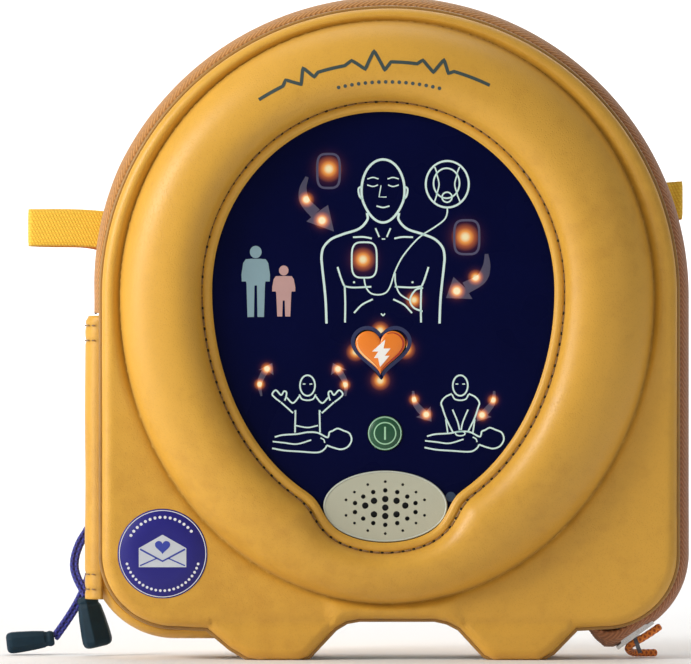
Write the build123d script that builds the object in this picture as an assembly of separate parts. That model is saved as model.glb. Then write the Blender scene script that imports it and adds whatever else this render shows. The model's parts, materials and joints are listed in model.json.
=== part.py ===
"""Defibrillator in its zipped carry case.

Millimetres. +X is to the right seen from the front, +Z is up and the front faces -Y.
The origin is on the floor, under the middle of the case, in the plane of the main zip.
"""

from build123d import *
import math
import os

# Case outline: a half circle over straight sides with round lower corners
CASE_HALF_WIDTH = 115.2
CASE_TOP = 261.0
CASE_BASE = 13.5
CASE_CORNER = 29.0
WALL = 3.5

# Case depths along Y, front to back
RING_PEAK = -33.0
RING_BACK = -21.5
LIP_FRONT = -24.5
PANEL_FRONT = -19.0
SHELL_EDGE = 8.0
REAR_FACE = 31.0

# Raised ring (egg) and window (teardrop): centre X, centre Z, half width, rise, drop
EGG = (-1.0, 145.0, 107.0, 111.0, 122.4)
WINDOW = (-2.5, 148.0, 68.4, 71.4, 90.0)
LIP_WIDTH = 5.0

# Main zip and piping
TAPE = 1.6
COIL = 1.8
SLIT = 0.5
TAPE_EDGE = 10.0
PIPING = 1.2
PIPING_WIDTH = 1.9
ZIP_START_Z = 140.0
ZIP_END_X = 79.0
SLIDER_PLATE = (98.9, 9.5, 36.2)
SLIDER_FROM = -80.0
SLIDER_TO = -58.0
FRONT_ZIP_END = -56.0

# Cover hinge on the left
HINGE_X = -119.0
HINGE_BOW = (-112.6, 8.4, 6.4)
PANEL_LOW = 24.0
PANEL_HIGH = 138.0

# Feet: top left, top right, bottom right, bottom left X of each trapezoid
FEET = ((-72.6, -17.8, -31.0, -51.0), (24.0, 75.0, 60.0, 44.0))
FOOT_DEPTH = 7.0
OUTLET = (-56.0, 54.0)
OUTLET_TOP = 30.0
REAR_FOOT_DEPTH = 11.0

# Rear pocket
POCKET_INSET = 5.0
POCKET_SLIT = 34.5
POCKET_WALL_FRONT = 37.6
POCKET_PANEL = 40.0
POCKET_BACK = 42.5
POCKET_WALL = 2.5
LOWER_SLIDER = 43.0
UPPER_SLIDER = 55.0

# Unit
UNIT_X = -1.8
UNIT_HALF_WIDTH = 92.0
UNIT_BASE = 29.0
UNIT_TOP = 229.0
UNIT_CORNER = 34.0
UNIT_SHELL = 2.5
UNIT_FRONT = -14.0
UNIT_SEAM = 4.0
UNIT_BACK = 26.0
DECK = -20.0
DECK_WALL = 2.5
MEMBRANE = 0.6
BOARD_FRONT = -12.5
BOARD = 1.6
SCREWS = ((-60, 50), (56, 50), (-84, 130), (80, 130), (-57.5, 201), (53.9, 201))
SCREW_R = 1.5

# Controls
SPEAKER = (-1.7, 61.7, 24.7, 14.2)
POWER = (-1.8, 90.9)
POWER_R = 6.8
SHOCK = (-3.6, 123.0)
STATUS = (24.5, 65.5)
LEDS = (
    (-24.4, 196.2), (30.6, 169.0), (-10.6, 160.2), (10.2, 145.0),
    (-3.6, 137.5), (-17.5, 116.0), (10.0, 116.0), (-3.6, 107.5),
    (12.6, 102.0), (39.0, 102.0), (-50.0, 113.0), (-20.0, 112.6),
)

# Cartridge, bay and drawer: X from, X to, Y from, Y to of the bay's inside
BAY = (-48.5, 44.5, -8.0, 15.5)
BAY_TOP = 96.0
BAY_WALL = 1.5
CARTRIDGE_BASE = 24.0
CARTRIDGE_TOP = 94.0
SPLIT_Z = 55.5

# Round label on the cover
LABEL = (-90.8, 42.7)
LABEL_R = 18.0

# Cords
CORD_R = 1.9
MAIN_CORD_R = 1.6
UPPER_ROUTE = (
    (-118.8, 34.4, 57.2), (-122.0, 33.8, 51.6), (-126.4, 32.2, 44.8), (-128.4, 29.8, 36.6),
    (-126.2, 27.4, 29.8), (-122.6, 25.6, 24.2),
)
UPPER_GRIP_AIM = (0.23, -0.02, -0.973)
LOWER_ROUTE = (
    (-117.4, 34.5, 49.0), (-119.4, 37.4, 42.6), (-121.0, 39.0, 34.8), (-124.8, 37.6, 24.4),
    (-130.4, 35.4, 14.6), (-136.2, 33.2, 6.8),
)
LOWER_GRIP_AIM = (-0.99, -0.05, -0.11)
MAIN_ROUTE = (
    (109.2, -2.8, 13.2), (103.0, -3.4, 8.8), (95.6, -2.4, 5.0),
    (97.4, 5.0, 2.0), (102.8, 9.6, 1.8), (108.2, 10.8, 1.8),
)


def arch(x, half, base, top, corner, inset=0.0):
    """A half circle over straight sides with round lower corners, in X and Z."""
    r = half - inset
    c = corner - inset
    crown = top - half
    foot = base + inset
    return make_face([
        CenterArc((x, crown), r, 0, 180),
        Line((x - r, crown), (x - r, foot + c)),
        CenterArc((x - r + c, foot + c), c, 180, 90),
        Line((x - r + c, foot), (x + r - c, foot)),
        CenterArc((x + r - c, foot + c), c, 270, 90),
        Line((x + r, foot + c), (x + r, crown)),
    ])


def case_outline(inset=0.0):
    return arch(0, CASE_HALF_WIDTH, CASE_BASE, CASE_TOP, CASE_CORNER, inset)


def unit_outline(inset=0.0):
    return arch(UNIT_X, UNIT_HALF_WIDTH, UNIT_BASE, UNIT_TOP, UNIT_CORNER, inset)


def oval(shape, grow=0.0):
    """Two half ellipses of one width: shape gives centre, half width, rise and drop."""
    x, z, half, rise, drop = shape
    return make_face([
        EllipticalCenterArc((x, z), half + grow, rise + grow, 0, arc_size=180),
        EllipticalCenterArc((x, z), half + grow, drop + grow, 180, arc_size=180),
    ])


def window_shape(grow=0.0):
    x, z, rx, rz = SPEAKER
    return oval(WINDOW, grow) + Pos(x, z) * Ellipse(rx + 3.8 + grow, rz + 0.8 + grow)


def heart(grow=0.0):
    lobes = [Pos(4.4 * side, 3.6) * Circle(5.6 + grow) for side in (-1, 1)]
    tip = Polygon(
        (-9.2 - grow, 1.0), (0, -10.0 - grow), (9.2 + grow, 1.0), (0, 8.0), align=None
    )
    return Pos(*SHOCK) * (lobes[0] + lobes[1] + tip)


def slab(sketch, front, back):
    """A sketch in X and Z, made solid from Y = front to Y = back."""
    return extrude(Plane.XZ.offset(-back) * sketch, amount=back - front, dir=(0, -1, 0))


def raised(low, high, back, front):
    """A solid that changes from one sketch to another between two depths."""
    return loft([Plane.XZ.offset(-back) * low, Plane.XZ.offset(-front) * high])


def block(x0, x1, y0, y1, z0, z1):
    return Pos((x0 + x1) / 2, (y0 + y1) / 2, (z0 + z1) / 2) * Box(x1 - x0, y1 - y0, z1 - z0)


def rod(x, z, r, front, back):
    """A cylinder along Y."""
    return slab(Pos(x, z) * Circle(r), front, back)


def outline_band(inner, outer, front, back):
    """A strip round the case between two offsets of its outline, outward positive."""
    return slab(case_outline(-outer) - case_outline(-inner), front, back)


def zip_region(start_z, end_angle, end_x):
    """The part of the X-Z plane that the zip runs in, clockwise from the left side."""
    cx = CASE_HALF_WIDTH - CASE_CORNER
    cz = CASE_BASE + CASE_CORNER
    far = 200.0
    if end_angle is None:
        tail = [(end_x, -20.0), (end_x, cz)]
    else:
        a = math.radians(end_angle)
        tail = [(cx + far * math.cos(a), cz + far * math.sin(a)), (cx, cz)]
    points = [(-far, start_z), (-far, 2 * far), (2 * far, 2 * far), (2 * far, -20.0)]
    if end_angle is not None:
        points[3] = (2 * far, cz + far * math.sin(math.radians(end_angle)))
    return Polygon(*points, *tail, (0, start_z), align=None)


def foot_sketches():
    depth = CASE_BASE + 4
    shapes = []
    for top_left, top_right, right, left in FEET:
        shapes.append(
            Polygon((top_left, CASE_BASE), (left, 0), (right, 0), (top_right, CASE_BASE),
                    (top_right, depth), (top_left, depth), align=None)
        )
    return shapes


def sector(r0, r1, a0, a1, front, back):
    """A piece of a ring round the lower right corner's centre, between two angles."""
    cx = CASE_HALF_WIDTH - CASE_CORNER
    cz = CASE_BASE + CASE_CORNER
    a, b = math.radians(a0), math.radians(a1)

    def at(r, angle):
        return (cx + r * math.cos(angle), cz + r * math.sin(angle))

    face = make_face([
        CenterArc((cx, cz), r1, a0, a1 - a0),
        Line(at(r1, b), at(r0, b)),
        CenterArc((cx, cz), r0, a0, a1 - a0),
        Line(at(r0, a), at(r1, a)),
    ])
    return slab(face, front, back)


def cord(route, radius):
    """A tube along straight runs joined by tangent arcs."""
    points = [Vector(*p) for p in route]
    radii = []
    for before, here, after in zip(points, points[1:], points[2:]):
        one = here - before
        two = after - here
        turn = math.radians(one.get_angle(two))
        radii.append(0.45 * min(one.length, two.length) / math.tan(turn / 2))
    path = FilletPolyline(*points, radius=radii)
    start = Plane(origin=path @ 0, z_dir=path % 0)
    tube = sweep(start * Circle(radius), path=path)
    share = tube.volume / (math.pi * radius**2 * path.length)
    print("cord", round(path.length, 1), "radii", [round(r, 1) for r in radii], round(share, 3))
    return tube


def grip(start, direction, length, width, thick, side):
    """A moulded rubber pull: a rounded bar from start along direction."""
    plane = Plane(origin=start, x_dir=side, z_dir=direction)
    body = extrude(plane * RectangleRounded(width, thick, 0.3 * thick), amount=length)
    ends = body.faces().sort_by(Axis(start, direction))
    return chamfer(ends[-1].edges(), 1.2)


def case_front():
    shell = slab(case_outline(), PANEL_FRONT, -SHELL_EDGE)
    shell = fillet(shell.faces().sort_by(Axis.Y)[0].edges(), 3.0)
    shell += slab(oval(EGG), RING_BACK, PANEL_FRONT + 1)
    shell += raised(oval(EGG), oval(EGG, -7.5), RING_BACK, RING_PEAK)
    for foot in foot_sketches():
        shell += slab(foot, PANEL_FRONT, PANEL_FRONT + FOOT_DEPTH)
    shell -= slab(case_outline(WALL), PANEL_FRONT + WALL, 0)
    shell -= slab(oval(EGG, -6.0), RING_BACK, 0)
    shell -= slab(window_shape(LIP_WIDTH), RING_PEAK - 5, 0)
    shell -= raised(oval(WINDOW, LIP_WIDTH), oval(WINDOW, LIP_WIDTH + 8), LIP_FRONT, RING_PEAK - 1)
    return shell - block(*OUTLET, PANEL_FRONT + FOOT_DEPTH, 0, 0, OUTLET_TOP)


def case_rear():
    shell = slab(case_outline(), SHELL_EDGE, REAR_FACE)
    shell = fillet(shell.faces().sort_by(Axis.Y)[-1].edges(), 2.0)
    for foot in foot_sketches():
        shell += slab(foot, REAR_FACE - REAR_FOOT_DEPTH, REAR_FACE)
    shell -= slab(case_outline(WALL), 0, REAR_FACE - WALL)
    return shell - block(*OUTLET, 0, REAR_FACE - REAR_FOOT_DEPTH, 0, OUTLET_TOP)


def cradle():
    foam = slab(case_outline(WALL), SHELL_EDGE, REAR_FACE - WALL)
    foam += slab(case_outline(5.2), -6.0, SHELL_EDGE)
    foam -= slab(unit_outline(-0.3), -7.0, UNIT_BACK + 0.3)
    return foam - block(*OUTLET, PANEL_FRONT + FOOT_DEPTH, REAR_FACE - REAR_FOOT_DEPTH, 0, OUTLET_TOP)


def strap(x_shell, x_tip, z_low):
    """A webbing loop sewn to the side of the rear shell."""
    way = math.copysign(1, x_tip)
    loop = Polygon(
        (x_shell, 12.8), (x_tip - 2.5 * way, 15.4), (x_tip, 17.6), (x_tip, 21.8),
        (x_tip - 2.5 * way, 24.0), (x_shell, 26.6), align=None,
    )
    hole = Polygon(
        (x_shell, 14.4), (x_tip - 3.2 * way, 16.9), (x_tip - 1.6 * way, 18.3),
        (x_tip - 1.6 * way, 21.1), (x_tip - 3.2 * way, 22.5), (x_shell, 25.0), align=None,
    )
    strip = extrude(Plane.XY.offset(z_low) * (loop - hole), amount=15.0, dir=(0, 0, 1))
    return strip - slab(case_outline(), 0, REAR_FACE)


def hinge_panel():
    """A bowed strip round the cover's hinge line."""
    x, outer, inner = HINGE_BOW
    bow = Pos(x, 0) * (Circle(outer) - Circle(inner))
    keep = Pos(HINGE_X, 0.75) * Rectangle(7.8, 14.5)
    return extrude(Plane.XY.offset(PANEL_LOW) * (bow & keep), amount=PANEL_HIGH - PANEL_LOW)


def base_gusset():
    band = outline_band(0, 2.0, -SHELL_EDGE + 0.3, SHELL_EDGE)
    left = block(-130, -58, -20, 20, 0, PANEL_LOW)
    right = block(58, ZIP_END_X, -20, 20, 0, PANEL_LOW)
    return (band & left) + (band & right)


def main_zip(side):
    """Tape and coil of one side: -1 is the cover's, 1 is the rear shell's."""
    if side < 0:
        region = slab(zip_region(ZIP_START_Z, FRONT_ZIP_END, None), -50, 50)
    else:
        region = slab(zip_region(ZIP_START_Z, None, ZIP_END_X), -50, 50)
    near, far = sorted((side * SLIT, side * TAPE_EDGE))
    low, high = sorted((side * SLIT, side * (SLIT + 2.0)))
    tape = outline_band(0, TAPE, near, far) & region
    coil = outline_band(TAPE, TAPE + COIL, low, high) & region
    return tape, coil


def slider_box(length, width, low, high):
    """A box square to the slider's plate: low and high are measured outward from its middle."""
    x, z, lean = SLIDER_PLATE
    a = math.radians(lean)
    plane = Plane(origin=(x, 0, z), x_dir=(math.cos(a), 0, math.sin(a)), z_dir=(math.sin(a), 0, -math.cos(a)))
    return extrude(plane.offset(low) * Rectangle(length, width), amount=high - low)


def main_slider():
    """A slider whose flat plate stands a little proud of the folded tape."""
    r = CASE_CORNER
    legs = sector(r - 1.0, r + 9.0, SLIDER_FROM, SLIDER_FROM + 6, -0.3, 0.3)
    for side in (-1, 1):
        y0, y1 = sorted((side * 4.3, side * 5.5))
        legs += sector(r + 2.0, r + 9.0, SLIDER_FROM + 1, SLIDER_TO - 1, y0, y1)
    body = legs & slider_box(18.0, 11.0, -12.0, 0.5)
    body += slider_box(18.0, 11.0, -0.7, 0.7)
    body += sector(r - 2.2, r - 0.5, SLIDER_FROM, SLIDER_TO, -5.0, 5.0)
    for side in (-1, 1):
        body += Pos(0, 2.0 * side, 0) * slider_box(3.0, 1.2, 0.5, 2.2)
    return body


def main_bail():
    """The small pull ring on the slider, round the cord."""
    cx = CASE_HALF_WIDTH - CASE_CORNER
    cz = CASE_BASE + CASE_CORNER
    a = math.radians(-69)
    x = cx + (CASE_CORNER + 8.4) * math.cos(a)
    z = cz + (CASE_CORNER + 8.4) * math.sin(a)
    out = (math.cos(a), 0, math.sin(a))
    plane = Plane(origin=(x, -1.0, z - 1.6), x_dir=out, z_dir=(-math.sin(a), 0, math.cos(a)))
    ring = Ellipse(4.1, 3.9) - Ellipse(2.9, 2.7)
    return extrude(plane * ring, amount=0.8, both=True)


def pocket_zip(side):
    """Tape and coil of the pocket's zip: -1 on the rear shell, 1 on the pocket cover."""
    inner = -POCKET_INSET
    left_end = 30.0 if side < 0 else 67.0
    keep = block(-200, 0, 0, 80, left_end, 300) + block(0, 200, 0, 80, 45, 300)
    if side < 0:
        tape_y = (REAR_FACE, POCKET_SLIT - SLIT)
        coil_y = (POCKET_SLIT - SLIT - 1.6, POCKET_SLIT - SLIT)
    else:
        tape_y = (POCKET_SLIT + SLIT, POCKET_WALL_FRONT + 1.8)
        coil_y = (POCKET_SLIT + SLIT, POCKET_SLIT + SLIT + 1.6)
    tape = outline_band(inner, inner + TAPE, *tape_y) & keep
    coil = outline_band(inner + TAPE, inner + TAPE + 1.6, *coil_y) & keep
    return tape, coil


def pocket_slider(z):
    """A slider on the straight left side of the pocket's zip, from z upward."""
    x = -(CASE_HALF_WIDTH - POCKET_INSET)
    high = z + 10.0
    y = POCKET_SLIT
    body = block(x - 5.2, x - 3.7, y - 3.2, y + 3.2, z, high)
    body += block(x + 0.3, x + 1.8, y - 2.9, y + 2.9, z, high)
    body += block(x - 4.0, x + 0.6, y - 0.2, y + 0.2, high - 3, high)
    for side in (-1, 1):
        y0, y1 = sorted((y + side * 2.35, y + side * 3.2))
        body += block(x - 4.0, x - 1.8, y0, y1, z, high)
    lug = block(x - 7.2, x - 5.0, y - 1.6, y + 1.6, z + 4, z + 8)
    return body + lug


def pocket_cover():
    shape = case_outline(POCKET_INSET)
    cover = slab(shape, POCKET_WALL_FRONT, POCKET_BACK)
    cover = fillet(cover.faces().sort_by(Axis.Y)[-1].edges(), 1.5)
    return cover - slab(case_outline(POCKET_INSET + POCKET_WALL), 30, POCKET_PANEL)


def unit_posts(front, back, radius):
    posts = rod(*SCREWS[0], radius, front, back)
    for x, z in SCREWS[1:]:
        posts += rod(x, z, radius, front, back)
    return posts


def housing_front():
    case = slab(unit_outline(), UNIT_FRONT, UNIT_SEAM - 0.5)
    case += slab(window_shape(8.0), DECK, UNIT_FRONT)
    case -= slab(unit_outline(UNIT_SHELL), UNIT_FRONT + UNIT_SHELL, 20)
    case -= slab(window_shape(5.5), DECK + DECK_WALL, 20)
    case += unit_posts(UNIT_FRONT + UNIT_SHELL, UNIT_SEAM - 0.5, 4.0)
    case -= unit_posts(-8.0, 20, SCREW_R)
    case -= rod(*POWER, POWER_R + 0.4, -30, 0)
    case -= slab(heart(0.4), -30, 0)
    case -= rod(*STATUS, 2.0, -30, 0)
    x, z, rx, rz = SPEAKER
    case -= slab(Pos(x, z) * Ellipse(rx - 5, rz - 3), -30, -15)
    for x, z in LEDS:
        case -= rod(x, z, 1.6, -30, -15)
    x0, x1, y0, y1 = BAY
    return case - block(x0, x1, y0, y1, 20, UNIT_BASE + UNIT_SHELL)


def housing_rear():
    case = slab(unit_outline(), UNIT_SEAM + 0.5, UNIT_BACK)
    case = fillet(case.faces().sort_by(Axis.Y)[-1].edges(), 2.0)
    case -= slab(unit_outline(UNIT_SHELL), 0, UNIT_BACK - UNIT_SHELL)
    case += unit_posts(UNIT_SEAM + 0.5, UNIT_BACK - 1, 5.0)
    case -= unit_posts(0, 40, SCREW_R)
    case -= unit_posts(UNIT_BACK - 4, 40, 3.2)
    x0, x1, y0, y1 = BAY
    return case - block(x0, x1, y0, y1, 20, UNIT_BASE + UNIT_SHELL)


def screws():
    return unit_posts(-6.0, UNIT_BACK - 3.9, SCREW_R) + unit_posts(UNIT_BACK - 4, UNIT_BACK - 1.5, 3.0)


def membrane():
    x, z, rx, rz = SPEAKER
    sheet = slab(window_shape(4.0), DECK - MEMBRANE, DECK)
    sheet -= slab(Pos(x, z) * Ellipse(rx + 0.3, rz + 0.3), -30, 0)
    sheet -= rod(*POWER, POWER_R + 0.4, -30, 0)
    sheet -= slab(heart(0.4), -30, 0)
    return sheet - rod(*STATUS, 2.0, -30, 0)


def speaker_grille():
    x, z, rx, rz = SPEAKER
    plate = slab(Pos(x, z) * Ellipse(rx, rz), DECK - 2.0, DECK)
    rows = (
        ((0, 0), (0, 3.4), (0, -3.4), (4.5, 2.7), (4.5, -2.7), (8.0, 0.8)),
        ((0, 6.9), (0, -6.9), (4.8, 6.2), (4.8, -6.2), (8.8, 4.4), (8.8, -4.4), (12.1, 1.8), (12.1, -1.8)),
        ((0, 10.4), (0, -10.4), (7.0, 9.2), (7.0, -9.2),
         (12.3, 6.2), (12.3, -6.2), (15.7, 3.1), (15.7, -3.1)),
    )
    for spots, radius in zip(rows, (1.3, 0.9, 0.55)):
        for dx, dz in spots:
            for side in {dx, -dx}:
                plate -= rod(x + side, z - 0.5 + dz, radius, -30, 0)
    return plate


def button(sketch, flange, x, z):
    """A cap that shows in the panel, a flange behind it and a stem to its switch."""
    cap = slab(sketch, DECK - 1.2, DECK + DECK_WALL + 0.4)
    cap += slab(flange, DECK + DECK_WALL + 0.3, DECK + DECK_WALL + 1.1)
    return cap + rod(x, z, 2.0, DECK + DECK_WALL + 1, BOARD_FRONT - 3.0)


def main_board():
    return block(-52, 48, BOARD_FRONT, BOARD_FRONT + BOARD, 84, 205)


def leds():
    group = rod(*LEDS[0], 1.2, BOARD_FRONT - 2, BOARD_FRONT)
    for x, z in LEDS[1:]:
        group += rod(x, z, 1.2, BOARD_FRONT - 2, BOARD_FRONT)
    return group


def switches():
    group = Part()
    for x, z in (POWER, SHOCK):
        group += block(x - 3, x + 3, BOARD_FRONT - 2.1, BOARD_FRONT, z - 3, z + 3)
    return group


def cartridge_bay():
    x0, x1, y0, y1 = BAY
    w = BAY_WALL
    box = block(x0 - w, x1 + w, y0 - w, y1 + w, UNIT_BASE + UNIT_SHELL, BAY_TOP)
    box -= block(x0, x1, y0, y1, 0, BAY_TOP - w)
    return box - contact_posts(1.2, BAY_TOP - 5, BAY_TOP + 5)


def contact_posts(radius, low, high):
    group = Part()
    for x in (-30, -14, 10, 26):
        group += Pos(x, 3.75, (low + high) / 2) * Cylinder(radius, high - low)
    return group


def cartridge_body():
    x0, x1, y0, y1 = BAY
    gap = 0.5
    w = 1.5
    body = block(x0 + gap, x1 - gap, y0 + gap, y1 - gap, CARTRIDGE_BASE, CARTRIDGE_TOP - w)
    body += block(x0 - 3, x1 + 3, y0 - 1.5, y1 + 1.5, CARTRIDGE_BASE, UNIT_BASE - 0.3)
    inner = (x0 + gap + w, x1 - gap - w, y0 + gap + w, y1 - gap - w)
    body -= block(*inner, SPLIT_Z + w, 100)
    return body - block(*inner, 0, SPLIT_Z)


def cartridge_lid():
    x0, x1, y0, y1 = BAY
    lid = block(x0 + 0.5, x1 - 0.5, y0 + 0.5, y1 - 0.5, CARTRIDGE_TOP - 1.5, CARTRIDGE_TOP)
    return lid - contact_posts(2.2, CARTRIDGE_TOP - 5, CARTRIDGE_TOP + 5)


def cells():
    group = Part()
    for x in (-36, -1):
        for z in (SPLIT_Z + 10.0, SPLIT_Z + 27.2):
            group += Pos(x + 17, 3.75, z) * Rot(0, 90, 0) * Cylinder(8.4, 33.5)
    return group


def drawer_tray():
    x0, x1, y0, y1 = BAY
    side = 2.3
    tray = block(x0 + side, x1 - side, y0 + side, y1 - side, CARTRIDGE_BASE - 0.5, SPLIT_Z - 0.4)
    tray -= block(x0 + side + 1.2, x1 - side - 1.2, y0, y1 - side - 1.2, CARTRIDGE_BASE + 2, SPLIT_Z - 1.6)
    return tray + block(x0 - 1, x1 + 1, y0, y1, CARTRIDGE_BASE - 2.6, CARTRIDGE_BASE - 0.1)


def pull_tab():
    low, high = CARTRIDGE_BASE - 8.4, CARTRIDGE_BASE - 2.6
    tab = block(-16, 12, 0.5, 7.0, low, high)
    return tab - block(-10, 6, -1, 9, low + 1.4, high)


def electrode_pads():
    group = Part()
    for n in range(3):
        y = 0.5 + 3.6 * n
        group += block(-42, 38, y, y + 2.6, CARTRIDGE_BASE + 3, SPLIT_Z - 3)
    return group


def front_cover_parts():
    tape, coil = main_zip(-1)
    inside = PANEL_FRONT + WALL
    lining = slab(case_outline(WALL + 0.1) - oval(EGG, -5.0), inside, inside + 1)
    lining -= block(*OUTLET, -30, 0, 0, OUTLET_TOP)
    return {
        "front_shell": case_front(),
        "window_binding": slab(window_shape(LIP_WIDTH) - window_shape(), LIP_FRONT, RING_BACK),
        "cover_lining": lining,
        "front_piping": outline_band(0, PIPING, -TAPE_EDGE - PIPING_WIDTH, -TAPE_EDGE),
        "front_zip_tape": tape,
        "front_zip_coil": coil,
        "round_label": rod(*LABEL, LABEL_R, PANEL_FRONT - 0.3, PANEL_FRONT),
    }


def rear_case_parts():
    tape, coil = main_zip(1)
    pocket_tape, pocket_coil = pocket_zip(-1)
    piping = outline_band(0, PIPING, TAPE_EDGE, TAPE_EDGE + PIPING_WIDTH)
    return {
        "rear_shell": case_rear(),
        "foam_cradle": cradle(),
        "rear_piping": piping - block(*OUTLET, 0, REAR_FACE, 0, OUTLET_TOP),
        "rear_zip_tape": tape,
        "rear_zip_coil": coil,
        "hinge_panel": hinge_panel(),
        "base_gusset": base_gusset(),
        "strap_loop_left": strap(-105.0, -144.0, 164.8),
        "strap_loop_right": strap(100.0, 119.2, 176.4),
        "side_tag": block(CASE_HALF_WIDTH, 120.4, 14.0, 15.6, 134.6, 143.4),
        "pocket_tape_shell": pocket_tape,
        "pocket_coil_shell": pocket_coil,
        "pocket_hinge_strip": block(-70, 70, REAR_FACE, 33.6, CASE_BASE + 5, CASE_BASE + 6.6),
        "pocket_slider_lower": pocket_slider(LOWER_SLIDER),
        "pocket_cord_lower": cord(LOWER_ROUTE, CORD_R),
        "pocket_grip_lower": grip(LOWER_ROUTE[-1], LOWER_GRIP_AIM, 19.5, 9.6, 8.6, (0, 1, 0)),
    }


def unit_parts():
    x0, x1, y0, y1 = BAY
    speaker_x, speaker_z = SPEAKER[:2]
    gasket = slab(unit_outline(0.6) - unit_outline(1.9), UNIT_SEAM - 0.5, UNIT_SEAM + 0.5)
    driver = rod(speaker_x, speaker_z, 13.0, DECK + DECK_WALL, -12.5)
    back = BOARD_FRONT + BOARD
    return {
        "housing_front": housing_front(),
        "housing_rear": housing_rear(),
        "housing_gasket": gasket - block(x0, x1, y0, y1, 20, UNIT_BASE + UNIT_SHELL),
        "housing_screws": screws(),
        "front_membrane": membrane(),
        "speaker_grille": speaker_grille(),
        "speaker_driver": driver + rod(speaker_x, speaker_z, 8.0, -12.6, -10.2),
        "status_lens": rod(*STATUS, 2.0, DECK - 0.9, DECK + 2),
        "main_board": main_board(),
        "indicator_leds": leds(),
        "button_switches": switches(),
        "capacitor": Pos(-22, back + 12, 188) * Rot(0, 90, 0) * Cylinder(12, 60),
        "transformer": block(18, 44, back, 14, 150, 176),
        "relay_module": block(-50, -12, back, 5, 130, 150),
        "cartridge_bay": cartridge_bay(),
        "bay_contacts": contact_posts(1.2, CARTRIDGE_TOP + 0.1, BAY_TOP + 3),
    }


def moving_parts():
    pocket_tape, pocket_coil = pocket_zip(1)
    return {
        "main_slider": main_slider(),
        "slider_bail": main_bail(),
        "main_pull_cord": cord(MAIN_ROUTE, MAIN_CORD_R),
        "pocket_slider_upper": pocket_slider(UPPER_SLIDER),
        "pocket_cord_upper": cord(UPPER_ROUTE, CORD_R),
        "pocket_grip_upper": grip(UPPER_ROUTE[-1], UPPER_GRIP_AIM, 21.2, 12.0, 8.6, (1, 0.6, 0.22)),
        "pocket_cover": pocket_cover(),
        "pocket_tape_cover": pocket_tape,
        "pocket_coil_cover": pocket_coil,
        "power_button": button(Pos(*POWER) * Circle(POWER_R), Pos(*POWER) * Circle(8.2), *POWER),
        "shock_button": button(heart(), heart(1.2), *SHOCK),
        "cartridge_body": cartridge_body(),
        "cartridge_lid": cartridge_lid(),
        "battery_cells": cells(),
        "cartridge_contacts": contact_posts(2.2, CARTRIDGE_TOP - 1.3, CARTRIDGE_TOP),
        "drawer_tray": drawer_tray(),
        "pull_tab": pull_tab(),
        "electrode_pads": electrode_pads(),
    }


os.makedirs("parts", exist_ok=True)
for group in (front_cover_parts(), rear_case_parts(), unit_parts(), moving_parts()):
    for name, shape in group.items():
        export_step(shape, f"parts/{name}.step")
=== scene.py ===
"""Defibrillator in its zipped carry case: the visible pieces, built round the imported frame."""

import json
import math

import bmesh
import bpy
import numpy as np
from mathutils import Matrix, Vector


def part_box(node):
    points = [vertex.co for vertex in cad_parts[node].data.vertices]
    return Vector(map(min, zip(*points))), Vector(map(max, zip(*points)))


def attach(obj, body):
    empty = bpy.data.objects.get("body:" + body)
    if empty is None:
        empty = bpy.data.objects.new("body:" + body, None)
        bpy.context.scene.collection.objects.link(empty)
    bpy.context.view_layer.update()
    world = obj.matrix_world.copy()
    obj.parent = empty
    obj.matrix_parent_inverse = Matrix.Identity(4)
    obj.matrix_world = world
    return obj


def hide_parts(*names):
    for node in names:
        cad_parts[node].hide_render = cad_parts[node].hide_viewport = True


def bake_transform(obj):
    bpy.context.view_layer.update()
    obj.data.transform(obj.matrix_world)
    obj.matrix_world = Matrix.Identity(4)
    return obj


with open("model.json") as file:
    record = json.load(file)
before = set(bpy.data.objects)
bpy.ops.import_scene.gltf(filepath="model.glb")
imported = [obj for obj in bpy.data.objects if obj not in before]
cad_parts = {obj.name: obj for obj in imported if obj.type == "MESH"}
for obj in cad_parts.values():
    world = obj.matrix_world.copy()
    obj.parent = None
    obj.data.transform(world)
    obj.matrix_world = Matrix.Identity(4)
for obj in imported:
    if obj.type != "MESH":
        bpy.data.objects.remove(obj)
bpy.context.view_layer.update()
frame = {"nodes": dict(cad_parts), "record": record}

# Shapes are worked out in millimetres and written to meshes in metres.
# X runs to the right, Y to the back and Z up.
MM = 0.001


def box_mm(node):
    low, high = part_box(node)
    return np.array(low) / MM, np.array(high) / MM


# ---------------------------------------------------------------- sizes from the frame

SHELL_HIGH = box_mm("front_shell")[1]
REAR_HIGH = box_mm("rear_shell")[1]
HALF = SHELL_HIGH[0]
TOP = SHELL_HIGH[2]
EDGE = -SHELL_HIGH[1]
PIPING_LOW = box_mm("front_piping")[0]
PIPE = -PIPING_LOW[0] - HALF
BASE = PIPING_LOW[2] + PIPE
CORNER = 29.0
CROWN = TOP - HALF
REAR_FACE = REAR_HIGH[1]
MEMBRANE_FRONT = box_mm("front_membrane")[0][1]
SPEAKER_LOW, SPEAKER_HIGH = box_mm("speaker_grille")
LABEL_LOW, LABEL_HIGH = box_mm("round_label")
POWER_LOW, POWER_HIGH = box_mm("power_button")
SHOCK_LOW, SHOCK_HIGH = box_mm("shock_button")
POCKET_LOW, POCKET_HIGH = box_mm("pocket_cover")
PANEL_LOW, PANEL_HIGH = box_mm("hinge_panel")

# Moulded cover
PANEL_Y = -19.0
LIP_Y = -24.6
CREASE_Y = -17.6
STITCH_IN = 4.2
RING_HEIGHT = 11.9
RING_WIDTH = 36.0
EDGE_ROLL = 4.6
WALL = 3.5
FOOT_DEPTH = 7.0
REAR_FOOT_DEPTH = 11.0
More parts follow.
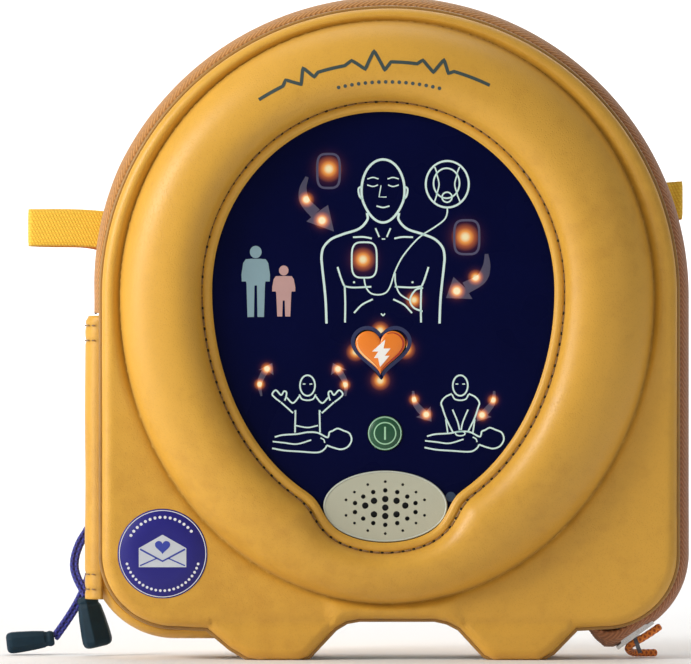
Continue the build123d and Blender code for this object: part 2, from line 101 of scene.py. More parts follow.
# Each foot's left and right X, and the feet's line from left to right as X and Z
FEET = ((-73.0, -21.9), (28.2, 74.8))
UNDERSIDE = (
    (-73.0, 12.8), (-63.6, 4.9), (-57.0, 1.0), (-52.0, 0.0), (-36.5, 0.0), (-32.6, 1.4), (-21.9, 12.8),
    (-17.2, 15.6), (-12.0, 16.5), (18.2, 16.5), (23.2, 15.4), (28.2, 12.8), (38.2, 1.9), (42.0, 0.0),
    (60.0, 0.0), (65.4, 3.2), (74.8, 12.8),
)
# The open stretch of the base, as X, that the cartridge comes out of
OUTLET = (-56.0, 54.0)
# Ovals: centre X and Z, half width, rise above the centre and drop below it
EGG = (-1.0, 145.0, 107.0, 111.0, 122.4)
WINDOW = (-2.5, 148.0, 68.4, 71.4, 90.0)
CENTRE = np.array([-1.0, 145.0])
AROUND = 960

STITCH_PITCH = 4.4

# Zip tape: where it ends, and how far it bulges along the base and round the corner
TAPE_END_X = 79.0
BULGE = 5.3
HINGE_SIDE_BULGE = 3.4
BULGE_PLACES = (79.0, 79.8, 83.0, 86.2)
BULGE_BASE = (0.5, 1.2, 5.6, 8.2)
BULGE_ANGLES = (-90.0, -84.0, -80.0, -75.0, -70.0, -65.0, -60.0, -54.0)
BULGE_TURN = (8.6, 8.9, 8.3, 6.8, 5.7, 5.0, 4.6, 5.3)

# Cord routes, one list of points each
UPPER_ROUTE = (
    (-118.8, 34.4, 57.2), (-122.0, 33.8, 51.6), (-126.4, 32.2, 44.8), (-128.4, 29.8, 36.6),
    (-126.2, 27.4, 29.8), (-122.6, 25.6, 24.2),
)
LOWER_ROUTE = (
    (-117.4, 34.5, 49.0), (-119.4, 37.4, 42.6), (-121.0, 39.0, 34.8), (-124.8, 37.6, 24.4),
    (-130.4, 35.4, 14.6), (-136.2, 33.2, 6.8),
)
MAIN_ROUTE = (
    (109.2, -2.8, 13.2), (103.0, -3.4, 8.8), (95.6, -2.4, 5.0),
    (97.4, 5.0, 2.0), (102.8, 9.6, 1.8), (108.2, 10.8, 1.8),
)


# ---------------------------------------------------------------- camera, floor and light

def aim(obj, target):
    direction = Vector(target) - obj.location
    obj.rotation_euler = direction.to_track_quat("-Z", "Y").to_euler()


def make_camera():
    data = bpy.data.cameras.new("camera")
    camera = bpy.data.objects.new("camera", data)
    bpy.context.scene.collection.objects.link(camera)
    distance = 3.0
    width = 0.2764
    data.sensor_width = 36.0
    data.lens = data.sensor_width * distance / width
    data.clip_end = 50.0
    camera.location = (-0.0176, -0.02 - distance, 0.1314)
    camera.rotation_euler = (math.radians(90), 0, 0)
    bpy.context.scene.camera = camera


def area_light(name, place, target, size, power, colour=(1, 1, 1)):
    data = bpy.data.lights.new(name, "AREA")
    data.shape = "RECTANGLE"
    data.size, data.size_y = size
    data.energy = power
    data.color = colour
    light = bpy.data.objects.new(name, data)
    bpy.context.scene.collection.objects.link(light)
    light.location = place
    aim(light, target)


def make_studio():
    """A pale floor that rises behind the object, soft lights and a pale sky."""
    start, rise = 4.2, 1.6
    rows = [(-9.0, 0.0), (start, 0.0)]
    for step in range(1, 13):
        a = math.radians(90 * step / 12)
        rows.append((start + rise * math.sin(a), rise - rise * math.cos(a)))
    rows.append((start + rise, 7.0))
    verts = [(x, y, z) for y, z in rows for x in (-9.0, 9.0)]
    faces = [(2 * n, 2 * n + 1, 2 * n + 3, 2 * n + 2) for n in range(len(rows) - 1)]
    mesh = bpy.data.meshes.new("studio_floor")
    mesh.from_pydata(verts, [], faces)
    mesh.shade_smooth()
    floor = bpy.data.objects.new("studio_floor", mesh)
    bpy.context.scene.collection.objects.link(floor)
    paint = bpy.data.materials.new("studio_white")
    paint.use_nodes = True
    shader = paint.node_tree.nodes["Principled BSDF"]
    shader.inputs["Base Color"].default_value = (0.93, 0.93, 0.93, 1)
    shader.inputs["Roughness"].default_value = 0.9
    mesh.materials.append(paint)
    middle = (0, 0, 0.14)
    area_light("key", (-1.7, -1.0, 1.05), middle, (0.6, 0.6), 26.0, (1.0, 0.97, 0.92))
    area_light("left_strip", (-1.3, -0.35, 0.35), middle, (0.25, 0.9), 6.0)
    area_light("fill", (1.4, -1.9, 0.4), middle, (1.2, 1.2), 1.0, (0.93, 0.96, 1.0))
    area_light("top", (0.0, 0.2, 1.5), middle, (1.2, 0.8), 4.0)
    area_light("back", (0.3, 1.5, 0.9), middle, (1.2, 0.8), 4.0)
    area_light("backdrop", (0, 2.6, 3.4), (0, 5.8, 0.5), (3.5, 1.2), 190.0)
    world = bpy.data.worlds.new("pale_sky")
    world.use_nodes = True
    sky = world.node_tree.nodes["Background"]
    sky.inputs["Color"].default_value = (1, 1, 1, 1)
    sky.inputs["Strength"].default_value = 0.33
    scene = bpy.context.scene
    scene.world = world
    scene.view_settings.view_transform = "Standard"


make_camera()
make_studio()


# ---------------------------------------------------------------- shader helpers

class Value:
    """A number socket that adds Math nodes when it is used in an expression."""

    def __init__(self, finish, socket):
        self.finish = finish
        self.socket = socket

    def math(self, operation, *others):
        inputs = [self] + list(others)
        return self.finish.math(operation, *inputs)

    def __add__(self, other):
        return self.math("ADD", other)

    __radd__ = __add__

    def __sub__(self, other):
        return self.math("SUBTRACT", other)

    def __rsub__(self, other):
        return self.finish.math("SUBTRACT", other, self)

    def __mul__(self, other):
        return self.math("MULTIPLY", other)

    __rmul__ = __mul__

    def __truediv__(self, other):
        return self.math("DIVIDE", other)

    def __pow__(self, other):
        return self.math("POWER", other)


class Finish:
    """A Principled material that is built by expressions."""

    def __init__(self, name, **constants):
        self.material = bpy.data.materials.new(name)
        self.material.use_nodes = True
        self.tree = self.material.node_tree
        self.shader = self.tree.nodes["Principled BSDF"]
        for socket, value in constants.items():
            self.constant(socket.replace("_", " "), value)

    def constant(self, socket, value):
        if isinstance(value, tuple) and len(value) == 3:
            value = (*value, 1.0)
        self.shader.inputs[socket].default_value = value

    def node(self, kind, settings=None, **inputs):
        node = self.tree.nodes.new("ShaderNode" + kind)
        for key, value in (settings or {}).items():
            setattr(node, key, value)
        for key, value in inputs.items():
            self.feed(node.inputs[key.replace("_", " ")], value)
        return node

    def feed(self, socket, value):
        if isinstance(value, Value):
            value = value.socket
        if isinstance(value, bpy.types.NodeSocket):
            self.tree.links.new(value, socket)
        elif isinstance(value, tuple) and socket.type == "RGBA" and len(value) == 3:
            socket.default_value = (*value, 1.0)
        else:
            socket.default_value = value

    def math(self, operation, *values):
        node = self.tree.nodes.new("ShaderNodeMath")
        node.operation = operation
        for socket, value in zip(node.inputs, values):
            self.feed(socket, value)
        return Value(self, node.outputs[0])

    def place(self, scale=1.0):
        """Object coordinates, scaled."""
        source = self.node("TexCoord").outputs["Object"]
        mapping = self.node("Mapping", Vector=source)
        factors = scale if isinstance(scale, tuple) else (scale, scale, scale)
        mapping.inputs["Scale"].default_value = factors
        return mapping.outputs["Vector"]

    def axes(self, source="Object"):
        """The three parts of the Object or UV coordinates."""
        split = self.node("SeparateXYZ", Vector=self.node("TexCoord").outputs[source])
        return [Value(self, out) for out in split.outputs]

    def noise(self, scale, detail=3.0, rough=0.5, vector=None):
        node = self.node(
            "TexNoise", Vector=vector or self.place(), Scale=scale, Detail=detail, Roughness=rough
        )
        return Value(self, node.outputs["Fac"])

    def cells(self, scale, feature="F1", vector=None):
        node = self.node(
            "TexVoronoi", {"feature": feature}, Vector=vector or self.place(), Scale=scale
        )
        return Value(self, node.outputs["Distance"])

    def attribute(self, name):
        return Value(self, self.node("Attribute", {"attribute_name": name}).outputs["Fac"])

    def mix(self, factor, one, two, blend="MIX"):
        node = self.tree.nodes.new("ShaderNodeMix")
        node.data_type = "RGBA"
        node.blend_type = blend
        self.feed(node.inputs[0], factor)
        self.feed(node.inputs[6], one)
        self.feed(node.inputs[7], two)
        return node.outputs[2]

    def ramp(self, factor, *stops):
        node = self.node("ValToRGB", Fac=factor)
        elements = node.color_ramp.elements
        while len(elements) < len(stops):
            elements.new(0.5)
        for element, (place, colour) in zip(elements, stops):
            element.position = place
            element.color = (*colour, 1.0) if len(colour) == 3 else colour
        return node.outputs["Color"]

    def step(self, value, low, high):
        """0 below low, 1 above high and smooth between."""
        node = self.node(
            "MapRange", {"interpolation_type": "SMOOTHSTEP"}, Value=value, From_Min=low, From_Max=high
        )
        return Value(self, node.outputs["Result"])

    def surface(self, **inputs):
        for key, value in inputs.items():
            self.feed(self.shader.inputs[key.replace("_", " ")], value)

    def bump(self, height, depth, strength=1.0):
        node = self.node("Bump", Height=height, Distance=depth, Strength=strength)
        self.surface(Normal=node.outputs["Normal"])


# ---------------------------------------------------------------- materials

def leather(name, pale, deep, coat=0.12):
    """Padded grained leather with painted shade in creases and hollows, worn high spots and soft gloss."""
    f = Finish(name, Coat_Weight=coat, Coat_Roughness=0.32, Sheen_Weight=0.08, Sheen_Roughness=0.4)
    patch = f.noise(9.0, 4.0, 0.55)
    mottle = f.noise(140.0, 3.0, 0.6)
    pebble = f.cells(1250.0)
    fine = f.noise(3200.0, 2.0, 0.6)
    tone = patch * 0.6 + mottle * 0.4
    colour = f.ramp(tone, (0.25, deep), (0.50, pale), (0.8, tuple(min(1, c * 1.08) for c in pale)))
    # Painted shade: the per-point attribute read here darkens the colour in creases, grooves and hidden
    # faces.
    shade = f.attribute("crease")
    colour = f.mix(shade * 0.5, colour, tuple(c * 0.40 for c in deep))
    wrinkle = f.step(pebble, 0.05, 0.45)
    colour = f.mix(0.10 - wrinkle * 0.10, colour, tuple(c * 0.5 for c in deep))
    f.surface(Base_Color=colour, Roughness=0.46 + mottle * 0.12 - wrinkle * 0.07 + shade * 0.2)
    f.bump(wrinkle * 0.6 + fine * 0.25 + mottle * 0.5, 0.00009)
    return f.material


def herringbone(name, pale, deep, pitch=0.0021):
    """Twill tape: slanting ribs that change direction in each column."""
    f = Finish(name, Sheen_Weight=0.25, Sheen_Roughness=0.5)
    u, v, _ = f.axes("UV")
    column = (v / (2 * pitch)).math("FRACT")
    slant = (column - 0.5).math("ABSOLUTE") * 2.0
    rib = ((u / pitch) + slant * 1.6).math("FRACT")
    height = f.step((rib - 0.5).math("ABSOLUTE"), 0.05, 0.4)
    thread = f.noise(2600.0, 2.0)
    tone = f.noise(30.0, 3.0)
    x, _, z = f.axes()
    # Painted light and shade: the tape is lighter towards the upper left and darker towards the lower right.
    side = f.step(x * 0.8 - z * 0.35, -0.10, 0.06)
    painted_side_shading = f.mix(side, pale, deep)
    colour = f.mix(height * 0.55 + 0.1, painted_side_shading, f.mix(1.0, painted_side_shading, (0.42, 0.36, 0.32), "MULTIPLY"))
    colour = f.mix(tone * 0.35, colour, f.mix(1.0, colour, (0.7, 0.62, 0.55), "MULTIPLY"))
    f.surface(Base_Color=colour, Roughness=0.75 + thread * 0.15)
    f.bump(thread * 0.3 - height, 0.00016)
    return f.material


def webbing(name, pale, deep):
    """Flat woven strap: a small basket weave."""
    f = Finish(name, Sheen_Weight=0.3, Sheen_Roughness=0.45)
    u, v, _ = f.axes("UV")
    pitch = 0.0013
    along = (u / pitch + v / pitch * 0.5).math("FRACT")
    across = (v / pitch).math("FRACT")
    hill = (along * math.pi).math("SINE") * (across * math.pi).math("SINE")
    thread = f.noise(3000.0, 2.0)
    tone = f.noise(45.0, 3.0)
    colour = f.mix(hill * 0.8 + thread * 0.2, deep, pale)
    colour = f.mix(tone * 0.25, colour, deep)
    # Painted shade: the strap's inner face, towards the back, turns a shaded orange-red.
    back = f.step(f.axes()[1], 0.0185, 0.0255)
    colour = f.mix(back * 0.85, colour, f.mix(hill, (0.50, 0.075, 0.012), (0.86, 0.17, 0.035)))
    f.surface(Base_Color=colour, Roughness=0.62 + thread * 0.2)
    f.bump(hill + thread * 0.2, 0.00022)
    return f.material


def braid(name, pale, deep):
    """Braided cord: crossing diamonds along the cord's own length."""
    f = Finish(name, Sheen_Weight=0.3, Sheen_Roughness=0.4)
    u, v, _ = f.axes("UV")
    one = ((u / 0.0022 + v * 3.0) * math.pi).math("SINE").math("ABSOLUTE")
    two = ((u / 0.0022 - v * 3.0) * math.pi).math("SINE").math("ABSOLUTE")
    hill = one.math("MAXIMUM", two)
    thread = f.noise(3500.0, 2.0)
    colour = f.mix(f.step(hill * 0.85 + thread * 0.25, 0.55, 1.0), deep, pale)
    f.surface(Base_Color=colour, Roughness=0.55 + thread * 0.2)
    f.bump(hill + thread * 0.3, 0.00025)
    return f.material


def fabric(name, pale, deep, scale=900.0, depth=0.0002):
    """Plain close weave."""
    f = Finish(name, Sheen_Weight=0.3, Sheen_Roughness=0.5)
    x, y, z = f.axes()
    warp = ((x + y) * (scale * math.pi)).math("SINE")
    weft = ((z + y) * (scale * math.pi)).math("SINE")
    weave = warp * weft * 0.5 + 0.5
    tone = f.noise(40.0, 3.0)
    f.surface(Base_Color=f.mix(weave * 0.6 + tone * 0.4, deep, pale), Roughness=0.8 + tone * 0.1)
    f.bump(weave, depth)
    return f.material


def foam(name, pale, deep):
    """Closed-cell foam with small pores."""
    f = Finish(name)
    pores = f.cells(900.0)
    tone = f.noise(60.0, 3.0)
    shade = f.step(pores, 0.1, 0.5) * 0.7 + tone * 0.3
    f.surface(Base_Color=f.mix(shade, deep, pale), Roughness=0.9 - tone * 0.1)
    f.bump(f.step(pores, 0.1, 0.4), 0.0003)
    return f.material


def plastic(name, pale, deep, rough=0.45, grain=1800.0, depth=0.00004, coat=0.0):
    """Moulded plastic with a spark texture and faint flow marks."""
    f = Finish(name, Coat_Weight=coat, Coat_Roughness=0.12)
    spark = f.noise(grain, 3.0, 0.6)
    flow = f.noise(14.0, 3.0, 0.5)
    scuff = f.noise(220.0, 4.0, 0.7)
    f.surface(
        Base_Color=f.mix(flow * 0.6 + scuff * 0.4, deep, pale),
        Roughness=rough - 0.08 + spark * 0.1 + scuff * 0.08,
    )
    f.bump(spark, depth)
    return f.material


def metal(name, pale, deep, rough=0.25):
    """Plated metal with fine scratches."""
    f = Finish(name, Metallic=1.0)
    scratch = f.noise(900.0, 2.0, 0.5, f.place((1.0, 14.0, 3.0)))
    tone = f.noise(120.0, 3.0)
    f.surface(Base_Color=f.mix(tone, deep, pale), Roughness=rough + scratch * 0.18 - 0.05)
    f.bump(scratch, 0.00002)
    return f.material


def rubber(name, pale, deep):
    f = Finish(name, Specular_IOR_Level=0.25)
    dust = f.noise(260.0, 4.0, 0.7)
    grain = f.noise(2400.0, 2.0)
    f.surface(Base_Color=f.mix(dust, deep, pale), Roughness=0.5 + dust * 0.18)
    f.bump(grain, 0.00005)
    return f.material


# Lit spots behind the panel: X, Z and reach, in millimetres
GLOWS = (
    (-24.3, 196.6, 4.2), (30.3, 169.4, 4.4), (-10.6, 160.4, 3.9), (9.8, 144.2, 2.8),
    (-13.6, 123.4, 3.0), (6.4, 124.4, 3.2), (-3.7, 112.0, 3.2), (-3.7, 132.0, 3.0),
    (-33.2, 184.4, 2.5), (-27.0, 176.0, 2.7), (34.4, 153.3, 2.5), (26.9, 147.8, 2.7),
    (-51.9, 110.5, 1.9), (-49.0, 116.7, 2.1), (-17.8, 110.3, 1.9), (-20.6, 116.6, 2.1),
    (9.9, 104.4, 1.9), (14.7, 98.4, 2.1), (41.4, 104.2, 1.9), (37.0, 98.2, 2.1),
)


def amber_light(f, strength):
    """The lit spots as a colour, for the film and the print on it."""
    x, _, z = f.axes()
    light = 0.0
    for px, pz, reach in GLOWS:
        dx = (x - px * MM) / (reach * MM)
        dz = (z - pz * MM) / (reach * MM)
        light = f.math("EXPONENT", (dx * dx + dz * dz) * -1.0) + light
    return f.ramp(
        light * strength, (0.0, (0, 0, 0)), (0.18, (0.035, 0.008, 0.002)), (0.5, (0.42, 0.10, 0.012)),
        (0.78, (0.95, 0.36, 0.05)), (0.97, (1.0, 0.85, 0.45)),
    )


def panel_film(name):
    """Dark blue gloss film with amber lights shining through it."""
    f = Finish(
        name, Coat_Weight=0.02, Coat_Roughness=0.1, Emission_Strength=0.85, Specular_IOR_Level=0.04
    )
    haze = f.noise(22.0, 3.0)
    blue = f.mix(haze, (0.0009, 0.0016, 0.022), (0.0018, 0.0034, 0.042))
    f.surface(Base_Color=blue, Emission_Color=amber_light(f, 1.0), Roughness=0.22 + haze * 0.12)
    fine = f.noise(2200.0, 2.0)
    f.bump(fine, 0.00001)
    return f.material


def printed(name, pale, glow=0.0):
    """Ink under the film, with a painted glow of the given strength."""
    f = Finish(name, Emission_Strength=glow, Coat_Weight=0.3, Coat_Roughness=0.1)
    tone = f.noise(120.0, 3.0)
    ink = f.mix(tone, tuple(c * 0.82 for c in pale), pale)
    f.surface(Base_Color=ink, Emission_Color=ink, Roughness=0.3 + tone * 0.15)
    return f.material


def lit_print(name, pale):
    """Ink that is dim by itself and amber where a light stands behind it."""
    f = Finish(name, Emission_Strength=0.9)
    tone = f.noise(160.0, 3.0)
    ink = f.mix(tone, tuple(c * 0.7 for c in pale), pale)
    f.surface(Base_Color=ink, Emission_Color=amber_light(f, 1.15), Roughness=0.35 + tone * 0.15)
    return f.material


GOLD = (0.70, 0.365, 0.036)
GOLD_DEEP = (0.57, 0.275, 0.022)
FINISHES = {
    "cover_leather": leather("cover_leather", GOLD, GOLD_DEEP),
    "piping_leather": leather("piping_leather", (0.36, 0.18, 0.03), (0.20, 0.095, 0.016)),
    "lining_fabric": fabric("lining_fabric", (0.020, 0.020, 0.022), (0.006, 0.006, 0.007)),
    "foam": foam("foam", (0.035, 0.035, 0.038), (0.012, 0.012, 0.013)),
    # The zip tape's pale and deep colours are its painted lit side and painted shaded side.
    "zip_tape": herringbone("zip_tape", (0.70, 0.33, 0.085), (0.52, 0.215, 0.090)),
    "zip_coil": plastic("zip_coil", (0.40, 0.17, 0.05), (0.20, 0.08, 0.025), 0.4),
    "webbing": webbing("webbing", (1.0, 0.68, 0.055), (0.88, 0.46, 0.025)),
    "tag_fabric": fabric("tag_fabric", (0.03, 0.06, 0.26), (0.01, 0.02, 0.10)),
    "slider_metal": metal("slider_metal", (0.80, 0.78, 0.76), (0.55, 0.53, 0.52)),
    "dark_metal": metal("dark_metal", (0.18, 0.19, 0.22), (0.08, 0.08, 0.10), 0.35),
    "cord_blue": braid("cord_blue", (0.040, 0.045, 0.36), (0.005, 0.005, 0.085)),
    "cord_orange": braid("cord_orange", (0.90, 0.26, 0.03), (0.42, 0.075, 0.01)),
    "grip_rubber": rubber("grip_rubber", (0.008, 0.036, 0.060), (0.003, 0.014, 0.026)),
    "thread": fabric("thread", (0.34, 0.17, 0.04), (0.14, 0.065, 0.015), 2600.0, 0.0001),
    "needle_hole": rubber("needle_hole", (0.020, 0.012, 0.006), (0.006, 0.004, 0.003)),
    "halo_violet": printed("halo_violet", (0.060, 0.055, 0.115), 0.25),
    "label_film": plastic("label_film", (0.008, 0.004, 0.24), (0.005, 0.003, 0.16), 0.45, coat=0.05),
    "label_white": printed("label_white", (0.86, 0.87, 0.93)),
    "label_pale": printed("label_pale", (0.66, 0.70, 0.76)),
    "label_sky": printed("label_sky", (0.030, 0.055, 0.42)),
    "housing_plastic": plastic("housing_plastic", (0.030, 0.045, 0.085), (0.014, 0.020, 0.042), 0.5),
    "seal_rubber": rubber("seal_rubber", (0.10, 0.10, 0.105), (0.05, 0.05, 0.052)),
    "screw_steel": metal("screw_steel", (0.62, 0.62, 0.63), (0.42, 0.42, 0.43), 0.3),
    "panel_film": panel_film("panel_film"),
    "grille_plastic": plastic("grille_plastic", (0.56, 0.56, 0.43), (0.48, 0.48, 0.36), 0.38, coat=0.2),
    "grille_rim": plastic("grille_rim", (0.62, 0.66, 0.58), (0.52, 0.56, 0.49), 0.3, coat=0.3),
    "driver_metal": metal("driver_metal", (0.12, 0.12, 0.13), (0.06, 0.06, 0.065), 0.5),
    "lens": plastic("lens", (0.02, 0.055, 0.13), (0.012, 0.03, 0.08), 0.2, coat=0.3),
    "board": plastic("board", (0.02, 0.17, 0.06), (0.01, 0.10, 0.035), 0.25, 500.0),
    "led_epoxy": plastic("led_epoxy", (0.95, 0.62, 0.14), (0.8, 0.45, 0.08), 0.15),
    "switch_plastic": plastic("switch_plastic", (0.02, 0.02, 0.02), (0.01, 0.01, 0.01)),
    "capacitor_can": metal("capacitor_can", (0.72, 0.73, 0.75), (0.55, 0.56, 0.58), 0.3),
    "core_ferrite": plastic("core_ferrite", (0.05, 0.05, 0.055), (0.02, 0.02, 0.022), 0.6),
    "relay_plastic": plastic("relay_plastic", (0.72, 0.70, 0.62), (0.6, 0.58, 0.5)),
    "contact_brass": metal("contact_brass", (0.90, 0.66, 0.30), (0.7, 0.48, 0.2)),
    "button_green": plastic("button_green", (0.010, 0.105, 0.042), (0.006, 0.065, 0.026), 0.35, coat=0.1),
    "button_mark": printed("button_mark", (0.32, 0.58, 0.36), 0.2),
    "button_rim": plastic("button_rim", (0.36, 0.62, 0.42), (0.26, 0.50, 0.33), 0.3, coat=0.4),
    "button_orange": plastic("button_orange", (0.95, 0.27, 0.018), (0.86, 0.19, 0.010), 0.3, coat=0.25),
    "bolt_white": printed("bolt_white", (0.92, 0.90, 0.86), 0.15),
    # Painted highlight, which also glows, and painted shade for the shock button's edges.
    "rim_painted_highlight": printed("rim_painted_highlight", (0.95, 0.55, 0.22), 0.2),
    "rim_painted_shade": printed("rim_painted_shade", (0.45, 0.035, 0.012)),
    "halo_blue": printed("halo_blue", (0.012, 0.018, 0.075), 0.3),
    "icon_pale": printed("icon_pale", (0.52, 0.66, 0.62), 0.35),
    "icon_grey": printed("icon_grey", (0.20, 0.31, 0.35), 0.3),
    "icon_pink": printed("icon_pink", (0.46, 0.27, 0.25), 0.3),
    "arrow_violet": lit_print("arrow_violet", (0.075, 0.070, 0.135)),
    "trace_teal": printed("trace_teal", (0.045, 0.075, 0.070)),
    "cartridge_plastic": plastic("cartridge_plastic", (0.27, 0.29, 0.30), (0.20, 0.21, 0.22)),
    "battery_wrap": plastic("battery_wrap", (0.03, 0.10, 0.30), (0.02, 0.06, 0.20), 0.3),
    "drawer_plastic": plastic("drawer_plastic", (0.56, 0.57, 0.55), (0.46, 0.47, 0.45)),
    "tab_green": plastic("tab_green", (0.03, 0.36, 0.09), (0.02, 0.25, 0.06), 0.4),
    "pad_foil": metal("pad_foil", (0.75, 0.76, 0.78), (0.6, 0.61, 0.63), 0.4),
}


NODE_FINISHES = {"slider_bail": "dark_metal"}


def dress_frame():
    """Gives every CAD node the finish of its slot, or its own."""
    for part in frame["record"]["subparts"]:
        finish = FINISHES[NODE_FINISHES.get(part["node"], part["material_slot"])]
        node = frame["nodes"][part["node"]]
        if not node.material_slots:
            node.data.materials.append(finish)
        for slot in node.material_slots:
            slot.material = finish


dress_frame()


# ---------------------------------------------------------------- mesh helpers

def new_object(name, mesh):
    obj = bpy.data.objects.new(name, mesh)
    bpy.context.scene.collection.objects.link(obj)
    return obj


def piece(name, verts, faces, finish, body=None, smooth=True, uv=None, crease=None):
    """A mesh from points in millimetres. uv holds one pair for each face corner."""
    mesh = bpy.data.meshes.new(name)
    mesh.from_pydata((np.asarray(verts, float) * MM).tolist(), [], faces)
    if uv is not None:
        layer = mesh.uv_layers.new(name="flow")
        layer.data.foreach_set("uv", np.asarray(uv, np.float32).ravel())
    # The per-point painted shade, stored as an attribute for the leather to darken by.
    if crease is not None:
        layer = mesh.attributes.new("crease", "FLOAT", "POINT")
        layer.data.foreach_set("value", np.asarray(crease, np.float32))
    work = bmesh.new()
    work.from_mesh(mesh)
    bmesh.ops.recalc_face_normals(work, faces=work.faces)
    work.to_mesh(mesh)
    work.free()
    if smooth:
        mesh.shade_smooth()
    mesh.materials.append(FINISHES[finish])
    obj = new_object(name, mesh)
    if body:
        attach(obj, body)
    return obj


def grid_faces(rows, columns, wrap_rows, wrap_columns):
    """Quads over a grid of points, with wrapped sides where asked."""
    i = np.arange(rows if wrap_rows else rows - 1)
    j = np.arange(columns if wrap_columns else columns - 1)
    a, b = np.meshgrid(i, j, indexing="ij")
    a2, b2 = (a + 1) % rows, (b + 1) % columns
    quads = np.stack([a * columns + b, a * columns + b2, a2 * columns + b2, a2 * columns + b], -1)
    corners = np.stack([
        np.stack([a, b], -1), np.stack([a, b + 1], -1),
        np.stack([a + 1, b + 1], -1), np.stack([a + 1, b], -1),
    ], -2)
    return quads.reshape(-1, 4), corners.reshape(-1, 2)


def tube_mesh(name, loops, finish, body=None, closed=False, lengths=None, widths=None, **extra):
    """Closed cross-sections joined in a row, capped at the ends unless the row is closed."""
    loops = np.asarray(loops, float)
    rows, columns = loops.shape[:2]
    quads, corners = grid_faces(rows, columns, closed, True)
    faces = quads.tolist()
    uv = None
    if lengths is not None:
        u = np.append(lengths, lengths[-1] + (lengths[-1] - lengths[-2])) * MM
        v = np.asarray(widths) * MM
        uv = np.stack([u[corners[:, 0]], v[corners[:, 1]]], -1).tolist()
    if not closed:
        for cap, order in ((0, 1), (rows - 1, -1)):
            ring = [cap * columns + n for n in range(columns)][::order]
            faces.append(ring)
            if uv is not None:
                uv += [[0.0, 0.0]] * columns
    return piece(name, loops.reshape(-1, 3), faces, finish, body, uv=uv, **extra)


def lathe_disc(name, centre, profile, finish, body, steps=72):
    """A round disc facing the front: profile is (radius, Y) from rim to middle."""
    angles = np.linspace(0, 2 * np.pi, steps, endpoint=False)
    loops = []
    for radius, y in profile:
        loops.append(np.stack([
            centre[0] + radius * np.cos(angles),
            np.full(steps, y),
            centre[1] + radius * np.sin(angles),
        ], -1))
    return tube_mesh(name, loops, finish, body)


def smooth_line(points, closed=False, per_span=10):
    """A Catmull-Rom line through the points."""
    pts = np.asarray(points, float)
    if closed:
        pts = np.vstack([pts[-1], pts, pts[0], pts[1]])
    else:
        pts = np.vstack([2 * pts[0] - pts[1], pts, 2 * pts[-1] - pts[-2]])
    t = np.linspace(0, 1, per_span, endpoint=False)[:, None]
    out = []
    for a, b, c, d in zip(pts, pts[1:], pts[2:], pts[3:]):
        square = 2 * a - 5 * b + 4 * c - d
        cube = 3 * b - a - 3 * c + d
        out.append(0.5 * (2 * b + (c - a) * t + square * t**2 + cube * t**3))
    line = np.vstack(out)
    return line if closed else np.vstack([line, pts[-2]])


def ellipse(x, z, rx, rz, start=0.0, stop=360.0, steps=40):
    a = np.radians(np.linspace(start, stop, steps, endpoint=stop - start < 360))
    return np.stack([x + rx * np.cos(a), z + rz * np.sin(a)], -1)


def normals_2d(line, closed):
    """Unit normals to the right of the way along a flat line."""
    if closed:
        run = np.roll(line, -1, 0) - np.roll(line, 1, 0)
    else:
        run = np.gradient(line, axis=0)
    run /= np.maximum(np.linalg.norm(run, axis=1), 1e-9)[:, None]
    return np.stack([run[:, 1], -run[:, 0]], -1)


def run_length(line):
    steps = np.linalg.norm(np.diff(line, axis=0), axis=1)
    return np.concatenate([[0.0], np.cumsum(steps)])


def spaced(line, step, closed=False):
    """The same line with points an even distance apart."""
    if closed:
        line = np.vstack([line, line[:1]])
    s = run_length(line)
    count = max(2, int(round(s[-1] / step)))
    at = np.linspace(0, s[-1], count, endpoint=not closed)
    return np.stack([np.interp(at, s, line[:, k]) for k in range(line.shape[1])], -1)


class Sheet:
    """Flat strokes and patches on a surface, gathered into one mesh."""

    def __init__(self, height, thick=0.12, lift=0.09):
        self.height = height
        self.thick = thick
        self.lift = lift
        self.verts = []
        self.faces = []

    def front(self, line):
        return self.height(line[:, 0], line[:, 1]) - self.lift

    def stroke(self, points, width=0.62, closed=False, smooth=True, taper=None):
        line = smooth_line(points, closed) if smooth else np.asarray(points, float)
        side = normals_2d(line, closed)
        half = np.full(len(line), width / 2)
        if taper is not None:
            half = np.interp(np.linspace(0, 1, len(line)), np.linspace(0, 1, len(taper)), taper) / 2
        left = line + side * half[:, None]
        right = line - side * half[:, None]
        loops = []
        for edge, back in ((left, 0), (right, 0), (right, 1), (left, 1)):
            y = self.front(edge) + back * self.thick
            loops.append(np.stack([edge[:, 0], y, edge[:, 1]], -1))
        grid = np.stack(loops, 1)
        base = len(self.verts)
        quads, _ = grid_faces(len(line), 4, closed, True)
        self.verts += grid.reshape(-1, 3).tolist()
        self.faces += (quads + base).tolist()
        if not closed:
            end = base + 4 * (len(line) - 1)
            self.faces.append([base + n for n in (3, 2, 1, 0)])
            self.faces.append([end + n for n in range(4)])

    def patch(self, outline):
        """A filled flat shape."""
        line = np.asarray(outline, float)
        n = len(line)
        y = self.front(line)
        base = len(self.verts)
        self.verts += np.stack([line[:, 0], y, line[:, 1]], -1).tolist()
        self.verts += np.stack([line[:, 0], y + self.thick, line[:, 1]], -1).tolist()
        self.faces.append([base + k for k in range(n)])
        self.faces.append([base + n + k for k in range(n)][::-1])
        for k in range(n):
            self.faces.append([base + k, base + n + k, base + n + (k + 1) % n, base + (k + 1) % n])

    def done(self, name, finish, body):
        return piece(name, self.verts, self.faces, finish, body, smooth=False)


# ---------------------------------------------------------------- rows made by Geometry Nodes

